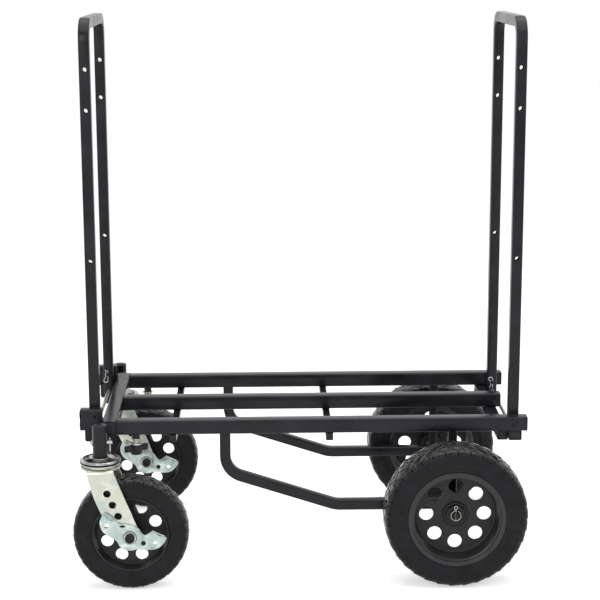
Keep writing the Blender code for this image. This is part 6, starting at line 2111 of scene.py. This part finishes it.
@dataclass(frozen=True)
class Studio:
    """Plain soft light, a pale floor and a white background."""

    surround: float = 0.55
    floor_colour: Colour = (0.88, 0.88, 0.88)
    floor_white: float = 0.52
    floor_half: float = 14.0
    floor_z: float = -0.5 * MM
    whitened: tuple[str, ...] = ("Camera", "Glossy", "Transmission")

    def lamp(self, name: str, place: Triple, width: float, depth: float, power: float) -> None:
        """A soft lamp that faces the middle of the cart."""
        data = bpy.data.lights.new(name, "AREA")
        data.shape = "RECTANGLE"
        data.size = width
        data.size_y = depth
        data.energy = power
        lamp = bpy.data.objects.new(name, data)
        towards = unit(point(0.0, 0.0, 0.35) - np.array(place))
        first, second = frame_round(towards)
        columns = np.stack([-first, second, -towards], axis=-1)
        lamp.matrix_world = Matrix.Translation(place) @ Matrix(columns.tolist()).to_4x4()
        bpy.context.scene.collection.objects.link(lamp)

    def seen(self, tree: bpy.types.NodeTree, ways: Sequence[str], strength: float) -> bpy.types.NodeSocket:
        """A strength that holds for the named ways of being seen and is nought for the rest."""
        path = tree.nodes.new("ShaderNodeLightPath")
        sum_so_far = path.outputs["Is " + ways[0] + " Ray"]
        for way in ways[1:]:
            either = tree.nodes.new("ShaderNodeMath")
            either.operation = "MAXIMUM"
            tree.links.new(sum_so_far, either.inputs[0])
            tree.links.new(path.outputs["Is " + way + " Ray"], either.inputs[1])
            sum_so_far = either.outputs[0]
        scale = tree.nodes.new("ShaderNodeMath")
        scale.operation = "MULTIPLY"
        scale.inputs[1].default_value = strength
        tree.links.new(sum_so_far, scale.inputs[0])
        return scale.outputs[0]

    def world(self) -> None:
        """Even light all round, which the camera and reflections see as white."""
        world = bpy.data.worlds.new("studio")
        world.use_nodes = True
        tree = world.node_tree
        tree.nodes.clear()
        white = tree.nodes.new("ShaderNodeBackground")
        soft = tree.nodes.new("ShaderNodeBackground")
        soft.inputs["Strength"].default_value = self.surround
        for light in (white, soft):
            light.inputs["Color"].default_value = (1.0, 1.0, 1.0, 1.0)
        mix = tree.nodes.new("ShaderNodeMixShader")
        output = tree.nodes.new("ShaderNodeOutputWorld")
        tree.links.new(self.seen(tree, self.whitened, 1.0), mix.inputs["Fac"])
        tree.links.new(soft.outputs[0], mix.inputs[1])
        tree.links.new(white.outputs[0], mix.inputs[2])
        tree.links.new(mix.outputs[0], output.inputs["Surface"])
        bpy.context.scene.world = world

    def floor(self) -> None:
        """The pale floor, a little below the wheels, which keeps the cart's shadow."""
        half, level = self.floor_half, self.floor_z
        corners = [(-half, -half, level), (half, -half, level), (half, half, level), (-half, half, level)]
        mesh = bpy.data.meshes.new("studio_floor")
        mesh.from_pydata(corners, [], [(0, 1, 2, 3)])
        graph = ShaderGraph("studio_floor")
        graph.shader.inputs["Base Color"].default_value = (*self.floor_colour, 1.0)
        graph.fix("Roughness", 0.8)
        graph.fix("Specular IOR Level", 0.0)
        self.whiten(graph)
        mesh.materials.append(graph.material)
        floor = bpy.data.objects.new("studio_floor", mesh)
        bpy.context.scene.collection.objects.link(floor)

    def whiten(self, graph: ShaderGraph) -> None:
        """Adds white to the floor as it is seen, so that the lit floor meets the white background."""
        tree = graph.tree
        glow = tree.nodes.new("ShaderNodeEmission")
        add = tree.nodes.new("ShaderNodeAddShader")
        output = tree.nodes["Material Output"]
        tree.links.new(self.seen(tree, self.whitened, self.floor_white), glow.inputs["Strength"])
        tree.links.new(graph.shader.outputs[0], add.inputs[0])
        tree.links.new(glow.outputs[0], add.inputs[1])
        tree.links.new(add.outputs[0], output.inputs["Surface"])

    def build(self) -> None:
        """Makes the floor, the world and the lamps."""
        bpy.context.scene.view_settings.view_transform = "Standard"
        self.floor()
        self.world()
        self.lamp("overhead_lamp", (0.1, -0.2, 2.6), 2.6, 2.2, 38.0)
        self.lamp("front_lamp", (-1.3, -3.0, 1.7), 1.8, 1.6, 26.0)
        self.lamp("right_lamp", (2.6, -0.8, 1.6), 1.4, 1.6, 10.0)


def clear_scene() -> None:
    """Removes whatever the scene holds before the cart comes in."""
    for old in list(bpy.data.objects):
        bpy.data.objects.remove(old, do_unlink=True)


def write_sizes() -> None:
    """Updates the view layer."""
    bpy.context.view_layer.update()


def main() -> None:
    """Builds the cart, its light and its camera in order."""
    logging.basicConfig(level=logging.INFO, format="%(message)s")
    clear_scene()
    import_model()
    shop = Workshop()
    PhotoCamera().build()
    Studio().build()
    OuterRails().build(shop)
    UnderBars().build(shop)
    AxleCarrier().build(shop)
    FrontCrossMember().build(shop)
    build_hinge_pins(shop)
    FoldingHandle("left_handle", DECK.front_hinge_x, DECK.front_hinge_z, 58.0 * MM, 33.0 * MM).build(shop)
    FoldingHandle("right_handle", DECK.rear_hinge_x, DECK.rail_z, 32.3 * MM, 17.3 * MM).build(shop)
    for side in Side:
        CasterMount(side).build(shop)
        Caster(side).build(shop)
        LockKnob(side).build(shop)
        rear_wheel(side).build(shop)
    LOG.info("%d pieces made", shop.made)
    write_sizes()


if __name__ == "__main__":
    main()
